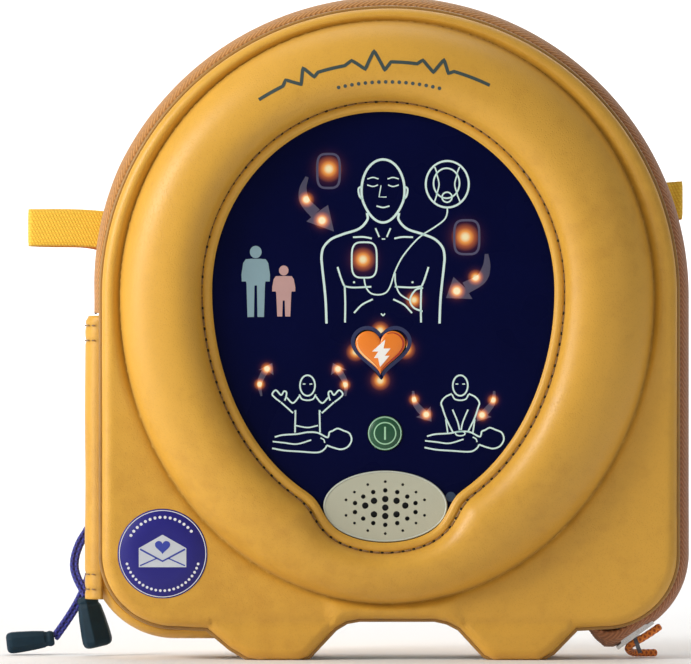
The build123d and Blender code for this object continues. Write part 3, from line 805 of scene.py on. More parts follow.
def row_tree():
    """Copies of one piece, an even distance apart along an edge path, standing on its up attribute."""
    tree = bpy.data.node_groups.new("row_along_path", "GeometryNodeTree")
    face = tree.interface
    face.new_socket("Geometry", in_out="INPUT", socket_type="NodeSocketGeometry")
    face.new_socket("Spacing", in_out="INPUT", socket_type="NodeSocketFloat")
    face.new_socket("Unit", in_out="INPUT", socket_type="NodeSocketObject")
    face.new_socket("Finish", in_out="INPUT", socket_type="NodeSocketMaterial")
    face.new_socket("Geometry", in_out="OUTPUT", socket_type="NodeSocketGeometry")

    def add(kind, **settings):
        node = tree.nodes.new(kind)
        for key, value in settings.items():
            setattr(node, key, value)
        return node

    link = tree.links.new
    start, end = add("NodeGroupInput"), add("NodeGroupOutput")
    curve = add("GeometryNodeMeshToCurve")
    even = add("GeometryNodeResampleCurve", mode="LENGTH")
    copy = add("GeometryNodeInstanceOnPoints")
    unit = add("GeometryNodeObjectInfo")
    up = add("GeometryNodeInputNamedAttribute", data_type="FLOAT_VECTOR")
    up.inputs["Name"].default_value = "up"
    tangent = add("GeometryNodeInputTangent")
    stand = add("FunctionNodeAlignRotationToVector", axis="Z")
    turn = add("FunctionNodeAlignRotationToVector", axis="X", pivot_axis="Z")
    real = add("GeometryNodeRealizeInstances")
    paint = add("GeometryNodeSetMaterial")
    link(start.outputs["Geometry"], curve.inputs["Mesh"])
    link(curve.outputs["Curve"], even.inputs["Curve"])
    link(start.outputs["Spacing"], even.inputs["Length"])
    link(even.outputs["Curve"], copy.inputs["Points"])
    link(start.outputs["Unit"], unit.inputs["Object"])
    link(unit.outputs["Geometry"], copy.inputs["Instance"])
    link(up.outputs["Attribute"], stand.inputs["Vector"])
    link(stand.outputs["Rotation"], turn.inputs["Rotation"])
    link(tangent.outputs["Tangent"], turn.inputs["Vector"])
    link(turn.outputs["Rotation"], copy.inputs["Rotation"])
    link(copy.outputs["Instances"], real.inputs["Geometry"])
    link(real.outputs["Geometry"], paint.inputs["Geometry"])
    link(start.outputs["Finish"], paint.inputs["Material"])
    link(paint.outputs["Geometry"], end.inputs["Geometry"])
    return tree


ROW_TREE = row_tree()


def row(name, paths, unit, spacing, finish, body):
    """Sets copies of unit along paths: each is (points, ups, closed), in millimetres."""
    verts, edges, ups = [], [], []
    for points, up, closed in paths:
        base, count = len(verts), len(points)
        verts += (np.asarray(points) * MM).tolist()
        ups += np.broadcast_to(up, (count, 3)).tolist()
        edges += [(base + n, base + n + 1) for n in range(count - 1)]
        if closed:
            edges.append((base + count - 1, base))
    mesh = bpy.data.meshes.new(name + "_path")
    mesh.from_pydata(verts, edges, [])
    layer = mesh.attributes.new("up", "FLOAT_VECTOR", "POINT")
    layer.data.foreach_set("vector", np.asarray(ups, np.float32).ravel())
    path = new_object(name + "_path", mesh)
    modifier = path.modifiers.new("row", "NODES")
    modifier.node_group = ROW_TREE
    names = {item.name: item.identifier for item in ROW_TREE.interface.items_tree if item.in_out == "INPUT"}
    modifier[names["Spacing"]] = spacing * MM
    modifier[names["Unit"]] = unit
    modifier[names["Finish"]] = FINISHES[finish]
    graph = bpy.context.evaluated_depsgraph_get()
    made = bpy.data.meshes.new_from_object(path.evaluated_get(graph))
    path.modifiers.remove(modifier)
    bpy.data.objects.remove(path)
    made.name = name
    obj = new_object(name, made)
    obj.data.shade_smooth()
    if body:
        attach(obj, body)
    return obj


def unit_mesh(name, loops):
    """A small closed piece, used only as the unit of a row."""
    loops = np.asarray(loops, float) * MM
    rows, columns = loops.shape[:2]
    quads, _ = grid_faces(rows, columns, False, True)
    faces = quads.tolist() + [list(range(columns))[::-1], [(rows - 1) * columns + n for n in range(columns)]]
    mesh = bpy.data.meshes.new(name)
    mesh.from_pydata(loops.reshape(-1, 3).tolist(), [], faces)
    return bpy.data.objects.new(name, mesh)


def capsule(name, length, radius, flat=0.8, sides=6):
    """A rounded bar along X that lies on its own base."""
    profile = ((-0.5, 0.35), (-0.42, 0.85), (0.0, 1.0), (0.42, 0.85), (0.5, 0.35))
    angles = np.linspace(0, 2 * np.pi, sides, endpoint=False)
    loops = []
    for place, share in profile:
        r = radius * share
        loops.append(np.stack([
            np.full(sides, place * length), r * np.cos(angles), flat * r * np.sin(angles)
        ], -1))
    return unit_mesh(name, loops)


STITCH = capsule("stitch", 2.8, 0.56)
STITCH_HOLE = capsule("stitch_hole", 1.2, 0.72, 0.5)
SMALL_STITCH = capsule("small_stitch", 2.2, 0.3)


# ---------------------------------------------------------------- outlines

def case_line(offset=0.0, feet=False, step=0.25):
    """The case's outline, anticlockwise from the right side of the crown, closed."""
    r = HALF + offset
    c = CORNER + offset
    low = BASE - offset
    a = np.radians(np.linspace(0, 180, int(r * math.pi / step)))
    parts = [np.stack([r * np.cos(a), CROWN + r * np.sin(a)], -1)]
    a = np.radians(np.linspace(180, 270, int(c * math.pi / 2 / step)))
    corner = np.stack([c * np.cos(a), c * np.sin(a)], -1)
    parts.append(corner + (-r + c, low + c))
    if feet:
        parts.append(np.array(UNDERSIDE))
    a = np.radians(np.linspace(270, 360, int(c * math.pi / 2 / step)))
    corner = np.stack([c * np.cos(a), c * np.sin(a)], -1)
    parts.append(corner + (r - c, low + c))
    line = np.vstack(parts)
    return spaced(line, step, closed=True)


def oval_line(shape, grow=0.0):
    x, z, half, rise, drop = shape
    a = np.radians(np.arange(0, 360, 0.25))
    tall = np.where(np.sin(a) > 0, rise + grow, drop + grow)
    return np.stack([x + (half + grow) * np.cos(a), z + tall * np.sin(a)], -1)


def reach(line, angles):
    """Distance from the centre to a closed line at each angle."""
    d = line - CENTRE
    a = np.arctan2(d[:, 1], d[:, 0]) % (2 * np.pi)
    order = np.argsort(a)
    a, r = a[order], np.linalg.norm(d, axis=1)[order]
    a = np.concatenate([a[-3:] - 2 * np.pi, a, a[:3] + 2 * np.pi])
    r = np.concatenate([r[-3:], r, r[:3]])
    return np.interp(angles % (2 * np.pi), a, r)


def at_angle(angles, radii):
    return np.stack([CENTRE[0] + radii * np.cos(angles), CENTRE[1] + radii * np.sin(angles)], -1)


def window_reach(angles, grow=0.0):
    """The teardrop window, widened smoothly round the speaker."""
    fine = np.radians(np.arange(0, 360, 0.25))
    drop = reach(oval_line(WINDOW, grow), fine)
    x = (SPEAKER_LOW[0] + SPEAKER_HIGH[0]) / 2
    z = (SPEAKER_LOW[2] + SPEAKER_HIGH[2]) / 2
    rx = (SPEAKER_HIGH[0] - SPEAKER_LOW[0]) / 2 + 0.9 + grow
    rz = (SPEAKER_HIGH[2] - SPEAKER_LOW[2]) / 2 + 0.4 + grow
    ox, oz = CENTRE[0] - x, CENTRE[1] - z
    dx, dz = np.cos(fine), np.sin(fine)
    a = (dx / rx) ** 2 + (dz / rz) ** 2
    b = ox * dx / rx**2 + oz * dz / rz**2
    c = (ox / rx) ** 2 + (oz / rz) ** 2 - 1
    inside = b**2 - a * c
    far = np.where(inside > 0, (-b + np.sqrt(np.maximum(inside, 0))) / a, 0.0)
    both = np.maximum(drop, far)
    lap = np.arange(-40, 41)
    weight = np.exp(-0.5 * (lap * 0.25 / 2.2) ** 2)
    weight /= weight.sum()
    soft = np.convolve(np.concatenate([both[-40:], both, both[:40]]), weight, "valid")
    return np.interp(angles % (2 * np.pi), np.append(fine, 2 * np.pi), np.append(soft, soft[0]))


def distance_to(points, line):
    """Distance from each point to a densely sampled line."""
    out = np.empty(len(points), np.float32)
    points = points.astype(np.float32)
    line = line.astype(np.float32)
    for n in range(0, len(points), 4000):
        d = points[n:n + 4000, None, :] - line[None]
        out[n:n + 4000] = np.sqrt((d**2).sum(-1).min(1))
    return out


ANGLES = np.linspace(0, 2 * np.pi, AROUND, endpoint=False)
for cx, cz in UNDERSIDE:
    turn = math.atan2(cz - CENTRE[1], cx - CENTRE[0]) % (2 * math.pi)
    ANGLES[np.argmin(np.abs(ANGLES - turn))] = turn
CASE_LINE = case_line(feet=True)
PLAIN_LINE = case_line()
EGG_LINE = oval_line(EGG)
FINE_ANGLES = np.radians(np.arange(0, 360, 0.25))
WINDOW_LINE = at_angle(FINE_ANGLES, window_reach(FINE_ANGLES))
REACH_CASE = reach(CASE_LINE, ANGLES)
REACH_PLAIN = reach(PLAIN_LINE, ANGLES)
REACH_EGG = reach(EGG_LINE, ANGLES)
REACH_WINDOW = window_reach(ANGLES)


def cover_surface(points):
    """Y of the moulded cover's front, and how much painted shade each point gets."""
    from_window = distance_to(points, WINDOW_LINE)
    from_ring_edge = distance_to(points, EGG_LINE)
    from_outline = distance_to(points, CASE_LINE)
    d = points - CENTRE
    radius = np.linalg.norm(d, axis=1)
    in_ring = radius < reach(EGG_LINE, np.arctan2(d[:, 1], d[:, 0]))

    width = from_window + from_ring_edge
    across = np.clip((from_window - STITCH_IN) / np.maximum(width - STITCH_IN, 1), 0, 1)
    hump = (1 - np.abs(2 * across - 1) ** 2.35) ** 0.60
    height = RING_HEIGHT * np.minimum(1.0, width / RING_WIDTH) ** 0.7
    ring = (LIP_Y + 0.5) * (1 - across) + CREASE_Y * across - height * hump
    lip = LIP_Y + 1.44 * np.exp(-(from_window / 0.8) ** 2)
    seam = 0.75 * np.exp(-((from_window - STITCH_IN) / 0.75) ** 2)
    ring = np.where(from_window < STITCH_IN, lip, ring) + seam

    near = np.clip((15 - (from_ring_edge + from_outline)) / 6, 0, 1)
    plateau = PANEL_Y - 0.05 - 1.5 * near * near * (3 - 2 * near)
    rim = plateau + (CREASE_Y - plateau) * np.exp(-(from_ring_edge / 1.7) ** 1.3)
    inward = np.clip(EDGE_ROLL - from_outline, 0, EDGE_ROLL)
    rim = rim + EDGE_ROLL - np.sqrt(EDGE_ROLL**2 - inward**2)
    fold = 0.0
    for left, right in FEET:
        span = (points[:, 0] > left + 1) & (points[:, 0] < right - 1)
        fold = fold + span * np.exp(-((points[:, 1] - BASE - 1.5) / 2.0) ** 2)
    rim = rim + 0.7 * fold

    # Painted shade: darker in the crease at the ring's edge, along the stitch groove and in the fold across
    # the feet.
    stitch_line = np.exp(-((from_window - STITCH_IN) / 0.6) ** 2) * in_ring
    crease = 0.8 * np.exp(-(from_ring_edge / 0.9) ** 2) + 0.6 * stitch_line + 0.12 * fold
    wave = 0.16 * np.sin(points[:, 0] / 11.0 + 1.3) * np.sin(points[:, 1] / 14.0 + 0.4)
    return np.where(in_ring, ring, rim) + wave, np.clip(crease, 0, 1)


def cover_height(x, z):
    return cover_surface(np.stack([x, z], -1))[0]


def panel_height(x, z):
    return np.full(np.shape(x), MEMBRANE_FRONT)


# ---------------------------------------------------------------- cords and grips

def route_line(route):
    """The smooth line that a cord's route guides, read from its own NURBS spline."""
    data = bpy.data.curves.new("route", "CURVE")
    data.dimensions = "3D"
    spline = data.splines.new("NURBS")
    spline.points.add(len(route) - 1)
    for point, place in zip(spline.points, route):
        point.co = (*(c * MM for c in place), 1.0)
    spline.order_u = 3
    spline.use_endpoint_u = True
    spline.resolution_u = 24
    obj = new_object("route", data)
    mesh = bpy.data.meshes.new_from_object(obj.evaluated_get(bpy.context.evaluated_depsgraph_get()))
    line = np.array([v.co for v in mesh.vertices]) / MM
    bpy.data.objects.remove(obj)
    bpy.data.meshes.remove(mesh)
    return line


def frames(line, side):
    """Two directions square to the line at each point, turning as little as they can."""
    run = np.gradient(line, axis=0)
    run /= np.linalg.norm(run, axis=1)[:, None]
    one = []
    vector = np.asarray(side, float)
    for tangent in run:
        vector = vector - tangent * (vector @ tangent)
        vector = vector / np.linalg.norm(vector)
        one.append(vector)
    one = np.array(one)
    return one, np.cross(run, one)


def cord(name, route, radius, strands, finish, body, node, side):
    """A braided cord: strands lie side by side along the route."""
    line = spaced(route_line(route), 0.35)
    one, two = frames(line, side)
    s = run_length(line)
    sides = 14
    angles = np.linspace(0, 2 * np.pi, sides, endpoint=False)
    strand_r = radius if strands == 1 else radius * 0.53
    verts, faces, uv = [], [], []
    for strand in range(strands):
        shift = 0.0 if strands == 1 else (strand - 0.5) * 2 * (radius - strand_r)
        middle = line + one * shift
        ripple = 1 - 0.10 * np.abs(np.sin(s[:, None] * math.pi / 2.2 + angles[None] * 1.5)) ** 0.7
        ends = np.minimum(1, np.minimum(s, s[-1] - s) / (0.6 * strand_r) + 0.35)
        r = strand_r * ripple * np.sqrt(np.minimum(1, ends))[:, None]
        out = one[:, None] * (r * np.cos(angles))[..., None]
        ring = middle[:, None] + out + two[:, None] * (r * np.sin(angles))[..., None]
        quads, corners = grid_faces(len(line), sides, False, True)
        base = len(verts)
        verts += ring.reshape(-1, 3).tolist()
        faces += (quads + base).tolist()
        uv += np.stack([s[corners[:, 0]] * MM, corners[:, 1] / sides], -1).tolist()
        for cap, order in ((0, -1), (len(line) - 1, 1)):
            faces.append([base + cap * sides + n for n in range(sides)][::order])
            uv += [[0.0, 0.0]] * sides
    obj = piece(name, verts, faces, finish, body, uv=uv)
    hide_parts(node)
    return obj


def grip(name, start, direction, side, size, body, node):
    """A moulded rubber pull: narrow at the cord, fuller and rounded at the far end, faceted."""
    length, width, thick = size
    d = np.asarray(direction, float)
    d /= np.linalg.norm(d)
    s = np.asarray(side, float)
    s = s - d * (s @ d)
    s /= np.linalg.norm(s)
    t = np.cross(d, s)
    profile = (
        (0.0, 0.52), (0.02, 0.66), (0.09, 0.74), (0.13, 0.68), (0.17, 0.68), (0.21, 0.78), (0.45, 0.90),
        (0.75, 0.99), (0.88, 1.0), (0.95, 0.93), (0.985, 0.78), (1.0, 0.55),
    )
    quarter = ((1.0, 0.42), (0.60, 1.0))
    half = quarter + tuple((-a, b) for a, b in quarter[::-1])
    corner = half + tuple((a, -b) for a, b in half[::-1])
    loops = []
    for along, share in profile:
        middle = np.asarray(start) + d * (along * length)
        wide, deep = share * width / 2, share * thick / 2
        loops.append([middle + s * (a * wide) + t * (b * deep) for a, b in corner])
    obj = tube_mesh(name, loops, "grip_rubber", body)
    bevel = obj.modifiers.new("bevel", "BEVEL")
    bevel.width = 0.0006
    bevel.segments = 3
    bevel.limit_method = "ANGLE"
    bevel.angle_limit = math.radians(25)
    obj.data.shade_flat()
    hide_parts(node)
    return obj


def make_cords():
    upper = grip(
        "upper_grip", UPPER_ROUTE[-1], (0.23, -0.02, -0.973), (1, 0.6, 0.22), (21.2, 12.0, 8.6),
        "pocket_pull", "pocket_grip_upper",
    )
    lower = grip(
        "lower_grip", LOWER_ROUTE[-1], (-0.99, -0.05, -0.11), (0, 1, 0), (19.5, 9.6, 8.6),
        "case_back", "pocket_grip_lower",
    )
    cord(
        "upper_pull_cord", UPPER_ROUTE, 1.9, 2, "cord_blue", "pocket_pull", "pocket_cord_upper",
        (1, 0, 0),
    )
    cord(
        "lower_pull_cord", LOWER_ROUTE, 1.9, 2, "cord_blue", "case_back", "pocket_cord_lower",
        (1, 0, 0),
    )
    cord(
        "orange_pull_cord", MAIN_ROUTE, 1.6, 1, "cord_orange", "zip_slider", "main_pull_cord",
        (0, 1, 0),
    )


make_cords()


# ---------------------------------------------------------------- moulded front cover

def ring_radii(count_ring=22, count_rim=13):
    """Radii of the cover's loops at each angle, from the window's edge to the outline."""
    lip = np.array([0, 0.3, 0.7, 1.2, 2.0, 2.9, 3.5, 3.9, 4.2, 4.5, 4.9, 5.5, 6.3, 7.3, 8.6])
    rows = [REACH_WINDOW + x for x in lip]
    inner, outer = REACH_WINDOW + lip[-1], REACH_EGG - 2.8
    for n in range(1, count_ring + 1):
        rows.append(inner + (outer - inner) * n / (count_ring + 1))
    rows += [REACH_EGG - x for x in (2.8, 2.0, 1.3, 0.8, 0.4, 0.0)]
    gap = REACH_CASE - REACH_EGG
    share = np.minimum(1.0, gap / 11.0)
    rows += [REACH_EGG + x * share for x in (0.4, 0.9, 1.6, 2.6, 3.8)]
    inner, outer = REACH_EGG + 3.8 * share, REACH_CASE - 5.2 * share
    for n in range(1, count_rim + 1):
        rows.append(inner + (outer - inner) * n / (count_rim + 1))
    rows += [REACH_CASE - x * share for x in (5.2, 4.2, 3.3, 2.5, 1.8, 1.2, 0.7, 0.3, 0.06)]
    return rows


def make_front_shell():
    """The padded front cover: ring, window lip, rim, side wall and inner face, as one closed skin."""
    loops, shades = [], []
    for radii in ring_radii():
        flat = at_angle(ANGLES, radii)
        y, crease = cover_surface(flat)
        loops.append(np.stack([flat[:, 0], y, flat[:, 1]], -1))
        shades.append(crease)
    outer = at_angle(ANGLES, REACH_CASE)
    low = outer[:, 1] < BASE + 4
    open_base = low & (outer[:, 0] > OUTLET[0]) & (outer[:, 0] < OUTLET[1])
    foot = outer[:, 1] < BASE - 0.5
    back = np.where(open_base | foot, PANEL_Y + FOOT_DEPTH, -EDGE)
    front = loops[-1][:, 1]
    # Painted shade: an even darkening on the side wall's back edge, the inside faces and the window's back.
    for share in (0.25, 0.6, 0.92, 1.0):
        loops.append(np.stack([outer[:, 0], front + (back - front) * share, outer[:, 1]], -1))
        shades.append(np.full(AROUND, 0.35 * (share > 0.9)))
    inside = at_angle(ANGLES, np.where(foot, REACH_PLAIN, REACH_CASE) - WALL)
    for y in (back, np.full(AROUND, PANEL_Y + WALL)):
        loops.append(np.stack([inside[:, 0], y, inside[:, 1]], -1))
        shades.append(np.full(AROUND, 0.4))
    for radii, y in ((REACH_EGG - 6, PANEL_Y + WALL), (REACH_EGG - 6, -21.5), (REACH_WINDOW + 0.1, -21.5)):
        flat = at_angle(ANGLES, radii)
        loops.append(np.stack([flat[:, 0], np.full(AROUND, y), flat[:, 1]], -1))
        shades.append(np.full(AROUND, 0.4))
    loops.append(loops[0] + (0, 0.9, 0))
    shades.append(np.full(AROUND, 0.3))
    grid = np.array(loops)
    quads, _ = grid_faces(len(grid), AROUND, True, True)
    shell = piece(
        "padded_front_cover", grid.reshape(-1, 3), quads.tolist(), "cover_leather", "front_cover",
        crease=np.array(shades).ravel(),
    )
    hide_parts("front_shell", "window_binding")
    return shell


def surface_path(radii_offset):
    """A closed line on the cover, this far outside the window's edge."""
    flat = spaced(at_angle(FINE_ANGLES, window_reach(FINE_ANGLES, radii_offset)), 0.8, closed=True)
    y = cover_height(flat[:, 0], flat[:, 1])
    return np.stack([flat[:, 0], y, flat[:, 1]], -1)


def make_window_stitches():
    """Thread dashes round the window, each between two dark needle holes."""
    path = surface_path(STITCH_IN) - (0, 0.42, 0)
    row("window_stitches", [(path, (0, -1, 0), True)], STITCH, STITCH_PITCH, "thread", "front_cover")
    s = run_length(np.vstack([path, path[:1]]))
    count = max(2, int(round(s[-1] / STITCH_PITCH)))
    shift = int(round(len(path) / count / 2))
    holes = np.roll(path, -shift, axis=0) + (0, 0.04, 0)
    row(
        "stitch_holes", [(holes, (0, -1, 0), True)], STITCH_HOLE, STITCH_PITCH, "needle_hole",
        "front_cover",
    )


def sweep_strip(name, line, normal, sections, finish, body=None, closed=False):
    """A strip that follows a flat line: each section is a loop of (outward, Y) pairs."""
    sections = np.asarray(sections, float)
    if sections.ndim == 2:
        sections = np.broadcast_to(sections, (len(line), *sections.shape))
    x = line[:, None, 0] + normal[:, None, 0] * sections[..., 0]
    z = line[:, None, 1] + normal[:, None, 1] * sections[..., 0]
    loops = np.stack([x, sections[..., 1], z], -1)
    lap = np.vstack([sections[0], sections[0][:1]])
    widths = run_length(lap)
    return tube_mesh(name, loops, finish, body, closed, run_length(line), widths)


def round_section(radius, out, y, sides=10):
    a = np.linspace(0, 2 * np.pi, sides, endpoint=False)
    return np.stack([out + radius * np.cos(a), y + radius * np.sin(a)], -1)


def make_welt(name, y, body, node, gap=None):
    """Rolled leather piping round the edge. A gap leaves the outlet open."""
    line = spaced(case_line(feet=gap is None), 0.9, closed=True)
    line[:, 1] = np.maximum(line[:, 1], 1.32)
    normal = normals_2d(line, True)
    if gap:
        inside = (line[:, 0] > gap[0]) & (line[:, 0] < gap[1]) & (line[:, 1] < BASE + 1)
        first = np.nonzero(inside)[0][-1] + 1
        keep = np.roll(np.arange(len(line)), -first)[: np.count_nonzero(~inside)]
        line, normal = line[keep], normal[keep]
    strip = sweep_strip(
        name, line, normal, round_section(0.95, 0.35, y), "piping_leather", body, closed=not gap
    )
    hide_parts(node)


def zip_line(step=0.9):
    """The zip's run: up the left side, over the crown and round the lower right corner."""
    corner = (HALF - CORNER, BASE + CORNER)
    left = [(-HALF, z) for z in np.arange(PANEL_HIGH[2] + 1, CROWN, 2.0)]
    crown = ellipse(0, CROWN, HALF, HALF, 180, 0, 160)
    right = [(HALF, z) for z in np.arange(CROWN - 2, corner[1], -2.0)]
    turn = ellipse(*corner, CORNER, CORNER, 0, -90, 40)
    base = [(x, BASE) for x in np.arange(corner[0] - 1, TAPE_END_X, -1.0)]
    line = spaced(np.vstack([left, crown, right, turn, base]), step)
    return line, -normals_2d(line, False)


def zip_bulge(line):
    """How far the tape stands out: even along the sides, fuller where it folds back below."""
    x, z = line[:, 0], line[:, 1]
    angle = np.degrees(np.arctan2(z - BASE - CORNER, x - HALF + CORNER))
    turn = np.interp(angle, BULGE_ANGLES, BULGE_TURN)
    base = np.interp(x, BULGE_PLACES, BULGE_BASE)
    low = (z < BASE + CORNER) & (x > 0)
    left = np.interp(z, (CROWN, CROWN + 50), (HINGE_SIDE_BULGE, BULGE))
    plain = np.where(x < 0, left, BULGE)
    return np.where(low, np.where(x < HALF - CORNER, base, turn), plain)


def make_zip_tape(side, name, body, node):
    """One half of the woven tape, bulging outward to the slit between the coils."""
    line, normal = zip_line()
    bulge = zip_bulge(line)
    places = np.linspace(9.8, 0.45, 12)
    top = np.sqrt(np.maximum(0, 1 - (places / 10.4) ** 2))
    sections = []
    for size in bulge:
        outer = np.stack([size * top + 0.15, side * places], -1)
        inner = np.stack([size * top - 0.85, side * places], -1)[::-1]
        sections.append(np.vstack([outer, inner]))
    strip = sweep_strip(name, line, normal, sections, "zip_tape", body)
    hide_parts(node)


def make_zip_coil(side, name, body, node):
    """A row of coil teeth along one edge of the slit."""
    line, normal = zip_line()
    out = zip_bulge(line) - 0.55
    level = np.full(len(line), side * 0.85)
    points = np.stack([line[:, 0] + normal[:, 0] * out, level, line[:, 1] + normal[:, 1] * out], -1)
    ups = np.stack([normal[:, 0], np.zeros(len(line)), normal[:, 1]], -1)
    teeth = row(name, [(points, ups, False)], COIL_TOOTH, 1.25, "zip_coil", body)
    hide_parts(node)


COIL_TOOTH = unit_mesh("coil_loop", [
    [(-0.38, y, z) for y, z in ((-0.8, -0.3), (0.8, -0.3), (0.8, 0.45), (-0.8, 0.45))],
    [(0.0, y, z) for y, z in ((-0.9, -0.4), (0.9, -0.4), (0.9, 0.62), (-0.9, 0.62))],
    [(0.38, y, z) for y, z in ((-0.8, -0.3), (0.8, -0.3), (0.8, 0.45), (-0.8, 0.45))],
])


def bead_row(sheet, x, z, radius, start, stop, count, size):
    """Small round marks along an arc."""
    for a in np.radians(np.linspace(start, stop, count)):
        sheet.patch(ellipse(x + radius * math.cos(a), z + radius * math.sin(a), size, size, steps=10))


def make_label():
    """A round sticker with two arcs of plain beads, an open envelope and a small heart."""
    centre = ((LABEL_LOW[0] + LABEL_HIGH[0]) / 2, (LABEL_LOW[2] + LABEL_HIGH[2]) / 2)
    radius = (LABEL_HIGH[0] - LABEL_LOW[0]) / 2
    front = LABEL_LOW[1]
    disc = lathe_disc(
        "round_sticker", centre,
        [(radius - 0.1, PANEL_Y + 0.4), (radius, front + 0.25), (radius - 0.25, front),
         (radius * 0.5, front - 0.02), (0.4, front - 0.02)],
        "label_film", "front_cover",
    )
    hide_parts("round_label")

    def level(x, z):
        return np.full(np.shape(x), front)

    x, z = centre
    white = Sheet(level, 0.06, 0.05)
    white.stroke(ellipse(x, z, radius - 0.7, radius - 0.7, steps=72), 0.3, closed=True, smooth=False)
    bead_row(white, x, z, radius - 3.4, 38, 150, 15, 0.62)
    bead_row(white, x, z, radius - 3.2, 196, 344, 22, 0.56)
    bead_row(white, x, z - 1.8, 0.6, 0, 180, 2, 0.5)
    white.done("sticker_white", "label_white", "front_cover")
    sky = Sheet(level, 0.06, 0.07)
    sky.patch([(x - 9.5, z - 5.4), (x + 9.5, z - 5.4), (x + 9.5, z + 2.2), (x, z + 7.6), (x - 9.5, z + 2.2)])
    sky.done("sticker_envelope", "label_pale", "front_cover")
    fold = Sheet(level, 0.06, 0.12)
    fold.stroke([(x - 9.0, z + 1.8), (x, z - 3.0), (x + 9.0, z + 1.8)], 0.7, smooth=False)
    fold.stroke([(x - 9.0, z - 4.8), (x - 2.2, z - 1.8)], 0.5, smooth=False)
    fold.stroke([(x + 9.0, z - 4.8), (x + 2.2, z - 1.8)], 0.5, smooth=False)
    fold.patch(heart_line(x, z + 2.4, 0.30))
    fold.done("sticker_blue", "label_sky", "front_cover")


def heart_line(x, z, size=1.0, steps=72):
    """A heart's outline, about 20 wide at size 1."""
    t = np.linspace(0, 2 * np.pi, steps, endpoint=False)
    wide = 10.2 * np.sin(t) ** 3
    tall = 0.62 * (13 * np.cos(t) - 5 * np.cos(2 * t) - 2 * np.cos(3 * t) - np.cos(4 * t)) + 1.6
    return np.stack([x + size * wide, z + size * tall], -1)


def make_arc_mark():
    """A printed heart trace that follows the crown of the ring, and a row of beads below it."""
    beat = (
        (-54, 0), (-43, 0), (-41, 1.8), (-39, 0), (-36, -2.4), (-33, 3.6), (-30, -1.4), (-28, 0),
        (-17, 0), (-14, 1.6), (-12, 0), (-9, -2.6), (-5, 4.6), (-1, -3.4), (1.5, 0),
        (12, 0), (14, 1.8), (16, 0), (19, -2.4), (22, 3.6), (25, -1.4), (27, 0), (43, 0),
    )
    radius = 94.0
    mark = Sheet(cover_height, 0.14, 0.10)
    points = []
    for (s0, up0), (s1, up1) in zip(beat, beat[1:]):
        steps = max(2, int(math.hypot(s1 - s0, up1 - up0) / 0.7))
        for share in np.arange(steps) / steps:
            a = math.radians(90) - (s0 + (s1 - s0) * share) / radius
            reach_out = radius + up0 + (up1 - up0) * share
            points.append((EGG[0] + reach_out * math.cos(a), EGG[1] + reach_out * math.sin(a)))
    mark.stroke(points, 1.35, smooth=False)
    bead_row(mark, EGG[0], EGG[1], radius - 8.0, 76, 103, 16, 0.75)
    mark.done("heart_trace", "trace_teal", "front_cover")


make_front_shell()
make_window_stitches()
make_welt("front_welt", -14.2, "front_cover", "front_piping")
make_zip_tape(-1, "front_tape_half", "front_cover", "front_zip_tape")
make_zip_coil(-1, "front_coil_teeth", "front_cover", "front_zip_coil")
make_label()
make_arc_mark()


# ---------------------------------------------------------------- rear of the case

def make_rear_shell():
    """The rear shell: padded sides with a rounded back edge, two feet, hollow inside."""
    outer = at_angle(ANGLES, REACH_CASE)
    foot = outer[:, 1] < BASE - 0.5
    low = outer[:, 1] < BASE + 4
    open_base = low & (outer[:, 0] > OUTLET[0]) & (outer[:, 0] < OUTLET[1])
    front = np.where(open_base | foot, REAR_FACE - REAR_FOOT_DEPTH, EDGE)
    loops = []

    def ring(inset, y):
        flat = at_angle(ANGLES, REACH_CASE - inset)
        loops.append(np.stack([flat[:, 0], np.broadcast_to(y, AROUND), flat[:, 1]], -1))

    for share in (0.12, 0.4, 0.7, 0.9, 0.97):
        flat = at_angle(ANGLES, REACH_PLAIN * share)
        loops.append(np.stack([flat[:, 0], np.full(AROUND, REAR_FACE), flat[:, 1]], -1))
    roll = 3.0
    for a in range(0, 91, 15):
        t = math.radians(a)
        ring(roll * (1 - math.sin(t)), REAR_FACE - roll * (1 - math.cos(t)))
    for share in np.linspace(0.12, 1.0, 9):
        puff = 0.7 * math.sin(math.pi * share)
        back = REAR_FACE - roll
        ring(-puff, back + (front - back) * share)
    inside = at_angle(ANGLES, np.where(foot, REACH_PLAIN, REACH_CASE) - WALL)
    for y in (front, np.full(AROUND, REAR_FACE - WALL)):
        loops.append(np.stack([inside[:, 0], y, inside[:, 1]], -1))
    flat = at_angle(ANGLES, REACH_PLAIN * 0.12)
    loops.append(np.stack([flat[:, 0], np.full(AROUND, REAR_FACE - WALL), flat[:, 1]], -1))
    shell = tube_mesh("padded_rear_shell", loops, "cover_leather", "case_back")
    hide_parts("rear_shell")


def plain_reach(inset, angles=ANGLES):
    return reach(case_line(-inset), angles)


